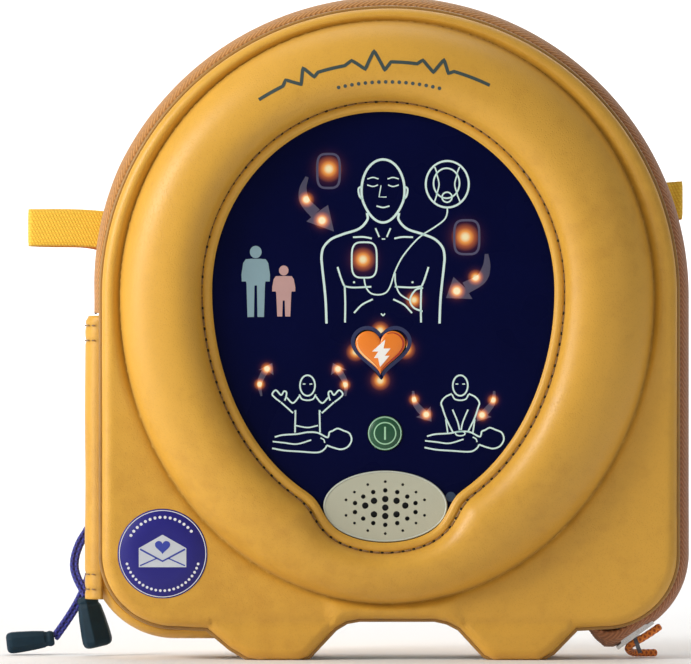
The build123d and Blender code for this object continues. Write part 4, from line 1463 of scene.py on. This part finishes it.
def make_pocket_cover():
    """The pocket's padded lid: crowned, with a stitched border."""
    inset = HALF - POCKET_HIGH[0]
    angles = np.linspace(0, 2 * np.pi, 480, endpoint=False)
    edge = plain_reach(inset, angles)
    back, front = POCKET_HIGH[1], POCKET_LOW[1]
    loops = []

    def ring(radii, y):
        flat = at_angle(angles, radii)
        loops.append(np.stack([flat[:, 0], np.broadcast_to(y, 480), flat[:, 1]], -1))

    for share in (0.05, 0.2, 0.35, 0.5, 0.65, 0.78, 0.86):
        ring(edge * share, back + 0.9 * (1 - share**2) - 0.25)
    border = (
        (12, 0.0), (10.5, -0.1), (9.6, -0.7), (9.0, -0.9), (8.4, -0.7), (7.5, 0.0), (5, 0.0),
        (3, 0.0), (1.5, -0.5), (0.6, -1.2), (0.1, -2.2),
    )
    for inner, y in border:
        ring(edge - inner, back + y)
    ring(edge, front + 0.4)
    ring(edge - 0.4, front)
    ring(edge - 2.5, front)
    ring(edge - 2.5, back - 2.5)
    ring(edge * 0.05, back - 2.5)
    lid = tube_mesh("pocket_lid", loops, "cover_leather", "rear_pocket")
    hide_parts("pocket_cover")
    flat = at_angle(angles, edge - 9.0)
    path = np.stack([flat[:, 0], np.full(480, back - 0.75), flat[:, 1]], -1)
    path = spaced(path, 0.8, True)
    row("pocket_stitches", [(path, (0, 1, 0), True)], STITCH, STITCH_PITCH, "thread", "rear_pocket")


def pocket_line(low_left, low_right, inset):
    """The pocket zip's run: up the left side, over the crown and down the right side."""
    r = HALF - inset
    left = [(-r, z) for z in np.arange(low_left, CROWN, 2.0)]
    crown = ellipse(0, CROWN, r, r, 180, 0, 150)
    right = [(r, z) for z in np.arange(CROWN - 2, low_right, -2.0)]
    line = spaced(np.vstack([left, crown, right]), 0.9)
    return line, -normals_2d(line, False)


def make_pocket_zip():
    """The pocket's two tapes and their rows of teeth."""
    for node, coil, body in (
        ("pocket_tape_shell", "pocket_coil_shell", "case_back"),
        ("pocket_tape_cover", "pocket_coil_cover", "rear_pocket"),
    ):
        low, high = box_mm(node)
        coil_low, coil_high = box_mm(coil)
        inset = HALF - high[0] + 1.6
        start = low[2] if low[2] > BASE + CORNER else BASE + CORNER
        line, normal = pocket_line(start, BASE + CORNER + 2.5, inset)
        places = np.linspace(low[1], high[1], 6)
        outer = np.stack([np.full(6, 1.5), places], -1)
        inner = np.stack([np.full(6, 0.1), places], -1)[::-1]
        strip = sweep_strip(node + "_woven", line, normal, np.vstack([outer, inner]), "zip_tape", body)
        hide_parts(node)
        y = (coil_low[1] + coil_high[1]) / 2
        level = np.full(len(line), y)
        points = np.stack([line[:, 0] + normal[:, 0] * 2.1, level, line[:, 1] + normal[:, 1] * 2.1], -1)
        ups = np.stack([normal[:, 0], np.zeros(len(line)), normal[:, 1]], -1)
        teeth = row(coil + "_teeth", [(points, ups, False)], COIL_TOOTH, 1.4, "zip_coil", body)
        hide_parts(coil)


def make_base_gusset():
    """Leather gussets under the lower corners, bulging between the two shells."""
    corner = (-HALF + CORNER, BASE + CORNER)
    left = np.vstack([
        [(-HALF, z) for z in np.arange(PANEL_LOW[2] + 22, corner[1], -2.0)] or [(-HALF, corner[1])],
        ellipse(*corner, CORNER, CORNER, 180, 270, 40),
        [(x, BASE) for x in np.arange(corner[0] + 1, -57.5, 1.0)],
    ])
    right = np.array([(x, BASE) for x in np.arange(58.0, TAPE_END_X + 0.5, 1.0)])
    for name, run, swell in (("left_gusset", left, 5.4), ("right_gusset", right, 3.4)):
        line = spaced(run, 1.0)
        normal = normals_2d(line, False)
        s = run_length(line)
        fade = np.clip(np.minimum(s, s[-1] - s) / 9.0, 0.25, 1)
        places = np.linspace(-7.7, 7.9, 14)
        dome = np.sqrt(np.maximum(0, 1 - (places / 8.6) ** 2))
        sections = []
        for share in fade:
            outer = np.stack([swell * share * dome, places], -1)
            inner = np.stack([swell * share * dome - 1.2, places], -1)[::-1]
            sections.append(np.vstack([outer, inner]))
        sweep_strip(name, line, normal, sections, "cover_leather", "case_back")
    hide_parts("base_gusset")


def make_hinge_panel():
    """The leather hinge: a bowed strip with four stitched rows."""
    low, high = PANEL_LOW[2], PANEL_HIGH[2]
    heights = spaced(np.array([[low, 0.0], [high, 0.0]]), 1.0)[:, 0]
    rows = (low + 4, low + 10, high - 4, high - 10)
    bow = 7.9
    angles = np.linspace(-1, 1, 28)
    arch = bow * np.sqrt(np.maximum(0, 1 - (0.98 * angles) ** 2))
    outer = np.stack([-HALF - arch + 0.6, 8.6 * angles], -1)
    ring = np.vstack([outer, outer[::-1] + (1.3, 0)])
    # Painted shade along the strip's edge next to the shell.
    edge = 0.65 * np.exp(-((angles + 0.97) / 0.10) ** 2)
    edge = np.concatenate([edge, edge[::-1]])
    loops, shades = [], []
    for z in heights:
        groove = sum(math.exp(-((z - at) / 0.9) ** 2) for at in rows)
        end = 1.4 * math.exp(-((high - z) / 1.6) ** 2)
        sag = 0.25 * math.sin(z / 9.0)
        shift = np.where(ring[:, 0] < -HALF - 1, 0.55 * groove + sag * 0.4 + end, 0.0)
        loops.append(np.stack([ring[:, 0] + shift, ring[:, 1], np.full(len(ring), z)], -1))
        # Painted shade: the shell-side edge and the stitched rows' grooves are darkened.
        shades.append(np.clip(edge + 0.6 * groove, 0, 1))
    panel = tube_mesh("leather_hinge", loops, "cover_leather", crease=np.array(shades).ravel())
    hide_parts("hinge_panel")
    paths = []
    for z in rows:
        arc = outer[2:-2]
        points = np.stack([arc[:, 0] + 0.1, arc[:, 1], np.full(len(arc), z)], -1)
        ups = np.stack([-np.ones(len(arc)), arc[:, 1] / 9.0, np.zeros(len(arc))], -1)
        paths.append((points, ups, False))
    stitches = row("hinge_stitches", paths, SMALL_STITCH, 3.1, "thread", None)
    for obj in (panel, stitches):
        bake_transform(obj)


def make_strap(name, node):
    """A folded webbing loop on the case's side."""
    low, high = box_mm(node)
    way = 1 if low[0] > 0 else -1
    tip = high[0] if way > 0 else low[0] - 2.4
    root = HALF * way * 0.955 if way < 0 else low[0] + 1
    y0, y1 = low[1] + 0.8, high[1] - 0.8
    middle = (y0 + y1) / 2
    path = smooth_line([
        (root, y0), (root + (tip - root) * 0.35, y0 + 0.9), (tip - 4.5 * way, y0 + 2.6),
        (tip - 1.2 * way, middle - 2.2),
        (tip - 0.8 * way, middle), (tip - 1.2 * way, middle + 2.2), (tip - 4.5 * way, y1 - 2.6),
        (root + (tip - root) * 0.35, y1 - 0.9), (root, y1),
    ], per_span=8)
    side = normals_2d(path, False)
    s = run_length(path)
    half = (high[2] - low[2]) / 2
    z = (high[2] + low[2]) / 2
    loops = []
    rows = np.linspace(-1, 1, 9)
    for point, n, at in zip(path, side, s):
        out = abs(point[0]) - abs(root)
        lift = 0.5 * math.sin(at / 9.0) + 0.05 * max(out, 0.0)
        if point[1] > middle:
            lift -= 2.6 * math.exp(-(out / 9.0) ** 2)
        ring = []
        for face in (1, -1):
            for r in rows[::face]:
                edge = 0.62 * (1 - 0.35 * abs(r) ** 6)
                shift = n * edge * face
                ring.append((point[0] + shift[0], point[1] + shift[1], z + half * r + lift))
        loops.append(ring)
    lap = [(0, r * half) for r in rows] + [(1.2, r * half) for r in rows[::-1]] + [(0, -half)]
    widths = run_length(np.array(lap))
    strap = tube_mesh(name, loops, "webbing", "case_back", lengths=s, widths=widths)
    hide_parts(node)


make_rear_shell()
make_welt("rear_welt", 14.2, "case_back", "rear_piping", (FEET[0][0], FEET[1][1]))
make_zip_tape(1, "rear_tape_half", "case_back", "rear_zip_tape")
make_zip_coil(1, "rear_coil_teeth", "case_back", "rear_zip_coil")
make_pocket_cover()
make_pocket_zip()
make_base_gusset()
make_hinge_panel()
make_strap("left_webbing_loop", "strap_loop_left")
make_strap("right_webbing_loop", "strap_loop_right")


# ---------------------------------------------------------------- controls and panel print

def make_power_button():
    """A domed green button with a thin pale rim, an inner ring and an upright bar."""
    low, high = POWER_LOW, POWER_HIGH
    x, z = (low[0] + high[0]) / 2, (low[2] + high[2]) / 2
    r, front = 6.8, low[1]
    rim = lathe_disc(
        "power_button_rim", (x, z),
        [(3.0, front + 2.6), (r, front + 2.4), (r, front + 0.4), (r - 0.15, front + 0.1),
         (r - 0.35, front - 0.02), (r - 0.55, front + 0.1), (r - 0.7, front + 0.3), (3.0, front + 0.35)],
        "button_rim", "power_key",
    )
    cap = lathe_disc(
        "power_button_cap", (x, z),
        [(2.0, front + 2.2), (r - 0.6, front + 2.0), (r - 0.6, front + 0.3), (r - 1.0, front - 0.02),
         (3.4, front - 0.3), (0.3, front - 0.38)],
        "button_green", "power_key",
    )

    def dome(px, pz):
        d = np.hypot(np.asarray(px) - x, np.asarray(pz) - z)
        return front - 0.38 + 0.36 * (d / (r - 1.0)) ** 2

    mark = Sheet(dome, 0.08, 0.08)
    mark.stroke(ellipse(x, z, 4.3, 4.3, steps=48), 0.5, closed=True, smooth=False)
    mark.stroke([(x, z - 2.6), (x, z), (x, z + 2.6)], 0.75, smooth=False)
    mark.done("power_button_mark", "button_mark", "power_key")
    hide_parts("power_button")


def make_shock_button():
    """A domed orange heart with a bolt, a painted highlight along its left edge, painted shade along its
    right edge and a dark halo.
    """
    low, high = SHOCK_LOW, SHOCK_HIGH
    x, z = (low[0] + high[0]) / 2, 123.0
    front = low[1]
    outline = heart_line(0, 0)
    steps = (
        (0.5, 2.2), (0.98, 2.0), (0.98, 0.45), (0.96, 0.2), (0.91, 0.0), (0.8, -0.22),
        (0.6, -0.42), (0.35, -0.52), (0.1, -0.55),
    )
    loops = []
    for size, depth in steps:
        back = np.full(len(outline), front + depth)
        loops.append(np.stack([x + outline[:, 0] * size, back, z + outline[:, 1] * size], -1))
    cap = tube_mesh("shock_button_cap", loops, "button_orange", "shock_key")
    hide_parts("shock_button")

    def dome(px, pz):
        d = np.hypot(np.asarray(px) - x, np.asarray(pz) - z) / 9.5
        return front - 0.56 + 0.36 * d**2

    bolt = Sheet(dome, 0.10, 0.05)
    bolt.patch([
        (x + 1.9, z + 5.4), (x - 3.4, z + 0.6), (x - 0.9, z + 0.6), (x - 2.6, z - 2.0), (x - 1.0, z - 2.0),
        (x - 0.2, z - 5.6), (x + 3.6, z - 1.1), (x + 1.7, z - 1.1), (x + 4.0, z + 1.8), (x + 1.2, z + 1.8),
    ])
    bolt.done("shock_button_bolt", "bolt_white", "shock_key")
    # Painted highlight on the heart's left edge and painted shade on its right edge.
    rim = heart_line(x, z, 0.90)
    edges = ((rim[42:56], "shock_rim_pale", "rim_painted_highlight"), (rim[8:34], "shock_rim_red", "rim_painted_shade"))
    for part, name, finish in edges:
        line = Sheet(dome, 0.10, -0.06)
        line.stroke(part, smooth=False, taper=(0.15, 0.75, 0.75, 0.15))
        line.done(name, finish, "shock_key")
    halo = Sheet(panel_height, 0.08, 0.04)
    halo.stroke(heart_line(x + 0.3, z, 1.12), 1.5, closed=True, smooth=False)
    halo.done("shock_halo", "halo_blue", "case_back")


def make_speaker():
    """A raised rim round the speaker grille."""
    x = (SPEAKER_LOW[0] + SPEAKER_HIGH[0]) / 2
    z = (SPEAKER_LOW[2] + SPEAKER_HIGH[2]) / 2
    rx = (SPEAKER_HIGH[0] - SPEAKER_LOW[0]) / 2
    rz = (SPEAKER_HIGH[2] - SPEAKER_LOW[2]) / 2
    front = SPEAKER_LOW[1]
    line = ellipse(x, z, rx - 0.5, rz - 0.5, steps=120)
    normal = normals_2d(line, True)
    section = round_section(0.38, 0.2, front + 0.1, 8)
    strip = sweep_strip("speaker_rim", line, normal, section, "grille_rim", "case_back", closed=True)


def mirrored(points, x):
    return [(2 * x - px, pz) for px, pz in points]


def bust_icon(sheet):
    """Head, shoulders and arms of a plain figure that shows where the pads go."""
    x, z = -2.6, 188.0
    head = []
    for turn in np.radians(np.arange(0, 360, 15)):
        tall = 12.4 if math.cos(turn) > 0 else 12.8
        wide = 8.6 if math.cos(turn) > -0.3 else 8.6 + 1.6 * (math.cos(turn) + 0.3)
        head.append((x + wide * math.sin(turn), z + tall * math.cos(turn)))
    sheet.stroke(head, 0.95, closed=True)
    for flip in (False, True):
        def way(points):
            return mirrored(points, x) if flip else points
        sheet.stroke(way([(-11.2, 189.6), (-12.4, 188.6), (-12.0, 185.8), (-10.8, 184.4)]), 0.75)
        sheet.stroke(way([(-9.0, 179.0), (-8.9, 176.2), (-12.2, 172.7), (-18.4, 170.6)]), 0.95)
        sheet.stroke(way([
            (-18.4, 170.6), (-23.2, 168.6), (-26.3, 165.4), (-27.2, 161.6), (-26.9, 157.2),
            (-26.0, 149.0), (-25.5, 143.0), (-25.2, 134.8),
        ]), 0.95)
        sheet.stroke(way([(-20.8, 157.4), (-19.2, 152.4), (-18.1, 149.8)]), 0.75)
        sheet.stroke(way([(-17.9, 149.7), (-17.7, 142.4), (-17.8, 135.2)]), 0.75)
        sheet.stroke(way([(-18.1, 149.7), (-14.4, 149.2), (-7.3, 149.5)]), 0.7)
        sheet.stroke(way([(-14.6, 169.3), (-10.4, 169.4), (-7.1, 168.8)]), 0.7)
        sheet.stroke(way([(-5.6, 172.9), (-4.1, 169.4)]), 0.65, smooth=False)
        sheet.stroke(way([(-14.2, 139.0), (-11.0, 142.3), (-6.7, 144.5)]), 0.7)
        sheet.stroke(way([(-8.9, 190.2), (-6.6, 189.6), (-4.6, 190.2)]), 0.5)
        sheet.stroke(way([(-8.9, 192.6), (-6.6, 193.2), (-4.4, 192.6)]), 0.5)
        sheet.patch(ellipse(-14.2 if not flip else 9.2, 151.3, 0.45, 0.45, steps=12))
    sheet.stroke([(-3.4, 190.0), (-4.2, 185.4), (-1.2, 185.4)], 0.45, smooth=False)
    sheet.stroke([(-5.2, 181.8), (x, 181.2), (0.0, 181.8)], 0.6)
    sheet.stroke([(-3.1, 168.6), (-1.7, 168.6)], 0.5, smooth=False)
    sheet.stroke([(-3.4, 138.8), (x, 138.0), (-1.8, 138.8)], 0.5)


def rounded_frame(x, z, wide, tall):
    """A rounded upright frame."""
    a = np.radians(np.arange(0, 360, 10))
    px = np.sign(np.cos(a)) * np.abs(np.cos(a)) ** 0.55 * wide / 2
    pz = np.sign(np.sin(a)) * np.abs(np.sin(a)) ** 0.55 * tall / 2
    return np.stack([x + px, z + pz], -1)


def pad_icons(sheet):
    """The pads, their pack and the lead between them."""
    sheet.stroke(rounded_frame(-10.1, 160.2, 10.0, 14.2), 0.7, closed=True, smooth=False)
    sheet.stroke([(13.4, 149.0), (10.4, 148.2), (8.2, 144.4), (9.6, 141.2), (13.2, 139.6)], 0.7)
    sheet.stroke(ellipse(23.1, 190.5, 8.6, 9.3, steps=56), 0.8, closed=True, smooth=False)
    sheet.stroke(ellipse(22.8, 190.9, 5.2, 6.0, steps=44), 0.65, closed=True, smooth=False)
    sheet.stroke(ellipse(23.0, 185.3, 2.0, 2.0, steps=30), 0.6, closed=True, smooth=False)
    sheet.stroke([(18.8, 194.8), (19.8, 190.5), (18.8, 186.2)], 0.55)
    sheet.stroke([(27.2, 194.8), (26.1, 190.5), (27.2, 186.2)], 0.55)
    for start, stop in (
        ((18.1, 197.4), (19.0, 195.0)), ((28.0, 197.4), (27.0, 195.0)),
        ((19.0, 186.4), (18.0, 183.5)), ((27.0, 186.4), (28.2, 183.5)),
    ):
        sheet.stroke([start, stop], 0.55, smooth=False)
    sheet.stroke([
        (-10.2, 153.0), (-9.5, 149.6), (-7.6, 147.0), (-4.4, 146.3), (-1.4, 147.2), (0.4, 150.0),
        (2.2, 155.6), (5.2, 161.5), (10.0, 167.4), (13.7, 170.6), (18.0, 173.3), (21.8, 176.2),
        (23.0, 178.7), (23.1, 181.2),
    ], 0.6)
    sheet.stroke([(2.2, 155.0), (2.4, 151.0), (4.1, 146.7), (8.0, 144.1)], 0.6)


def panel_halos():
    """Dim frames behind the lit pads."""
    halo = Sheet(panel_height, 0.06, 0.03)
    for x, z, wide, tall in ((-24.4, 195.8, 9.0, 13.6), (30.9, 169.3, 10.0, 13.6)):
        halo.stroke(rounded_frame(x, z, wide, tall), 0.9, closed=True, smooth=False)
    halo.done("pad_halos", "halo_violet", "case_back")


def people_icons():
    """A grown-up and a child, each a plain shape."""
    def figure(x, foot, head, shape):
        out = Sheet(panel_height, 0.08, 0.05)
        out.patch(ellipse(x, head[0], head[1], head[1] * 1.05, steps=30))
        right = [(x + px, foot + pz) for px, pz in shape]
        left = [(x - px, foot + pz) for px, pz in shape[::-1]]
        out.patch(right + left)
        return out

    grown = (
        (0.5, 12.6), (0.7, 0.0), (3.3, 0.0), (3.7, 13.4), (3.9, 14.2), (5.6, 14.2), (5.7, 17.0),
        (5.0, 21.6), (4.0, 23.1), (1.6, 23.3),
    )
    child = (
        (0.4, 6.4), (0.6, 0.0), (2.6, 0.0), (3.0, 9.4), (3.2, 10.0), (4.6, 10.0), (4.6, 11.8),
        (4.0, 15.0), (3.2, 16.1), (1.2, 16.2),
    )
    figure(-53.5, 137.4, (163.4, 2.35), grown).done("grown_up_icon", "icon_grey", "case_back")
    figure(-42.3, 137.6, (156.0, 1.9), child).done("child_icon", "icon_pink", "case_back")


def patient(sheet, x, z):
    """A figure lying down, seen from the side: head at the right."""
    def at(points):
        return [(x + px, z + pz) for px, pz in points]

    sheet.stroke(at([
        (-15.0, 1.9), (-11.8, 2.7), (-6.0, 3.1), (-2.0, 3.8), (2.1, 3.6), (5.8, 1.8), (6.6, 2.5),
        (6.9, 3.8), (8.2, 4.4), (10.1, 5.3), (12.4, 4.5), (14.9, 3.3), (15.7, 0.6), (14.2, -2.0),
        (11.5, -3.0), (8.6, -2.4), (5.8, -1.4),
    ]), 0.65)
    sheet.stroke(at([
        (5.8, -1.4), (5.2, -2.6), (3.5, -3.9), (1.0, -4.3), (-5.0, -3.9), (-11.0, -3.5), (-16.0, -2.6),
    ]), 0.65)
    sheet.stroke(at([(-15.8, 0.1), (-11.2, -0.4), (-6.1, -0.9), (-0.4, 0.7)]), 0.6)
    sheet.stroke(at([(3.3, 1.6), (4.6, 0.8), (5.0, -0.4)]), 0.5)


def rescuer(sheet, x):
    """The head and neckline of a figure that faces the front."""
    sheet.stroke(ellipse(x, 110.0, 3.0, 4.1, steps=36), 0.65, closed=True, smooth=False)
    sheet.stroke([(x - 3.3, 106.4), (x - 2.2, 104.6), (x, 104.1), (x + 2.2, 104.6), (x + 3.3, 106.4)], 0.6)
    sheet.stroke([(x - 1.9, 110.6), (x - 0.8, 110.6)], 0.45, smooth=False)
    sheet.stroke([(x + 0.8, 110.6), (x + 1.9, 110.6)], 0.45, smooth=False)


def rescue_icons(sheet):
    """One figure stands clear with raised hands, the other presses down."""
    x = -32.8
    patient(sheet, -30.9, 87.5)
    rescuer(sheet, x)
    for flip in (False, True):
        def way(points):
            return mirrored(points, x) if flip else points
        sheet.stroke(way([(-35.9, 105.9), (-38.6, 103.0), (-41.1, 105.2)]), 0.65)
        sheet.stroke(way([
            (-43.6, 103.4), (-45.8, 105.1), (-46.9, 106.6), (-45.4, 108.1), (-43.4, 106.2),
            (-42.2, 107.7), (-41.2, 107.2), (-41.4, 105.4), (-41.9, 104.0),
        ]), 0.65)
        sheet.stroke(way([(-43.4, 103.3), (-38.6, 99.0), (-37.6, 100.2), (-37.8, 91.2)]), 0.65, smooth=False)
    sheet.stroke([(-37.5, 94.0), (x, 93.2), (-28.6, 94.0)], 0.55)
    x = 28.3
    patient(sheet, 30.0, 87.8)
    rescuer(sheet, x)
    for flip in (False, True):
        def way(points):
            return mirrored(points, x) if flip else points
        sheet.stroke(way([
            (24.9, 106.7), (22.3, 105.4), (20.7, 103.2), (21.2, 101.0), (22.7, 96.7), (25.3, 91.4),
        ]), 0.65)
        sheet.stroke(way([(22.5, 96.5), (23.3, 91.0)]), 0.6, smooth=False)
        sheet.stroke(way([(25.2, 100.4), (27.2, 95.6), (28.0, 92.2)]), 0.6)
    sheet.stroke(ellipse(x, 90.8, 1.9, 0.9, steps=24), 0.55, closed=True, smooth=False)


def arrow(sheet, tail, head, tip):
    """A curved arrow: tail is its bend, head its two barbs."""
    line = smooth_line(tail)
    wide = math.dist(head[0], head[1])
    sheet.stroke(line, smooth=False, taper=(0.12 * wide, 0.34 * wide, 0.42 * wide))
    sheet.patch([head[0], tip, head[1], line[-1]])


# Each arrow is its bend, its two barbs and its tip
ARROWS = (
    (
        [(-33.0, 193.4), (-34.6, 188.6), (-33.8, 183.6), (-29.6, 178.8)],
        ((-24.6, 182.2), (-33.2, 175.6)), (-22.2, 171.6),
    ),
    (
        [(38.8, 162.6), (38.8, 157.6), (36.6, 152.6), (30.4, 149.0)],
        ((25.6, 153.4), (33.2, 144.6)), (22.6, 145.0),
    ),
    (
        [(-51.2, 105.8), (-52.0, 110.2), (-51.0, 113.6), (-49.4, 116.2)],
        ((-52.4, 116.2), (-46.4, 114.2)), (-46.9, 119.0),
    ),
    (
        [(-17.7, 105.8), (-17.4, 110.2), (-18.8, 113.6), (-20.6, 116.2)],
        ((-17.2, 116.2), (-23.4, 114.2)), (-22.6, 119.0),
    ),
    (
        [(9.4, 107.8), (10.0, 103.6), (11.8, 100.8), (13.8, 98.8)],
        ((16.4, 101.6), (10.6, 97.4)), (16.8, 95.6),
    ),
    (
        [(41.9, 107.8), (41.5, 103.6), (39.6, 100.8), (37.8, 98.8)],
        ((35.0, 101.4), (40.8, 97.4)), (34.8, 95.6),
    ),
)


def make_panel_print():
    lines = Sheet(panel_height, 0.08, 0.05)
    bust_icon(lines)
    pad_icons(lines)
    rescue_icons(lines)
    lines.done("panel_line_icons", "icon_pale", "case_back")
    people_icons()
    panel_halos()
    pointers = Sheet(panel_height, 0.06, 0.04)
    for tail, head, tip in ARROWS:
        arrow(pointers, tail, head, tip)
    pointers.done("panel_arrows", "arrow_violet", "case_back")


make_power_button()
make_shock_button()
make_speaker()
make_panel_print()
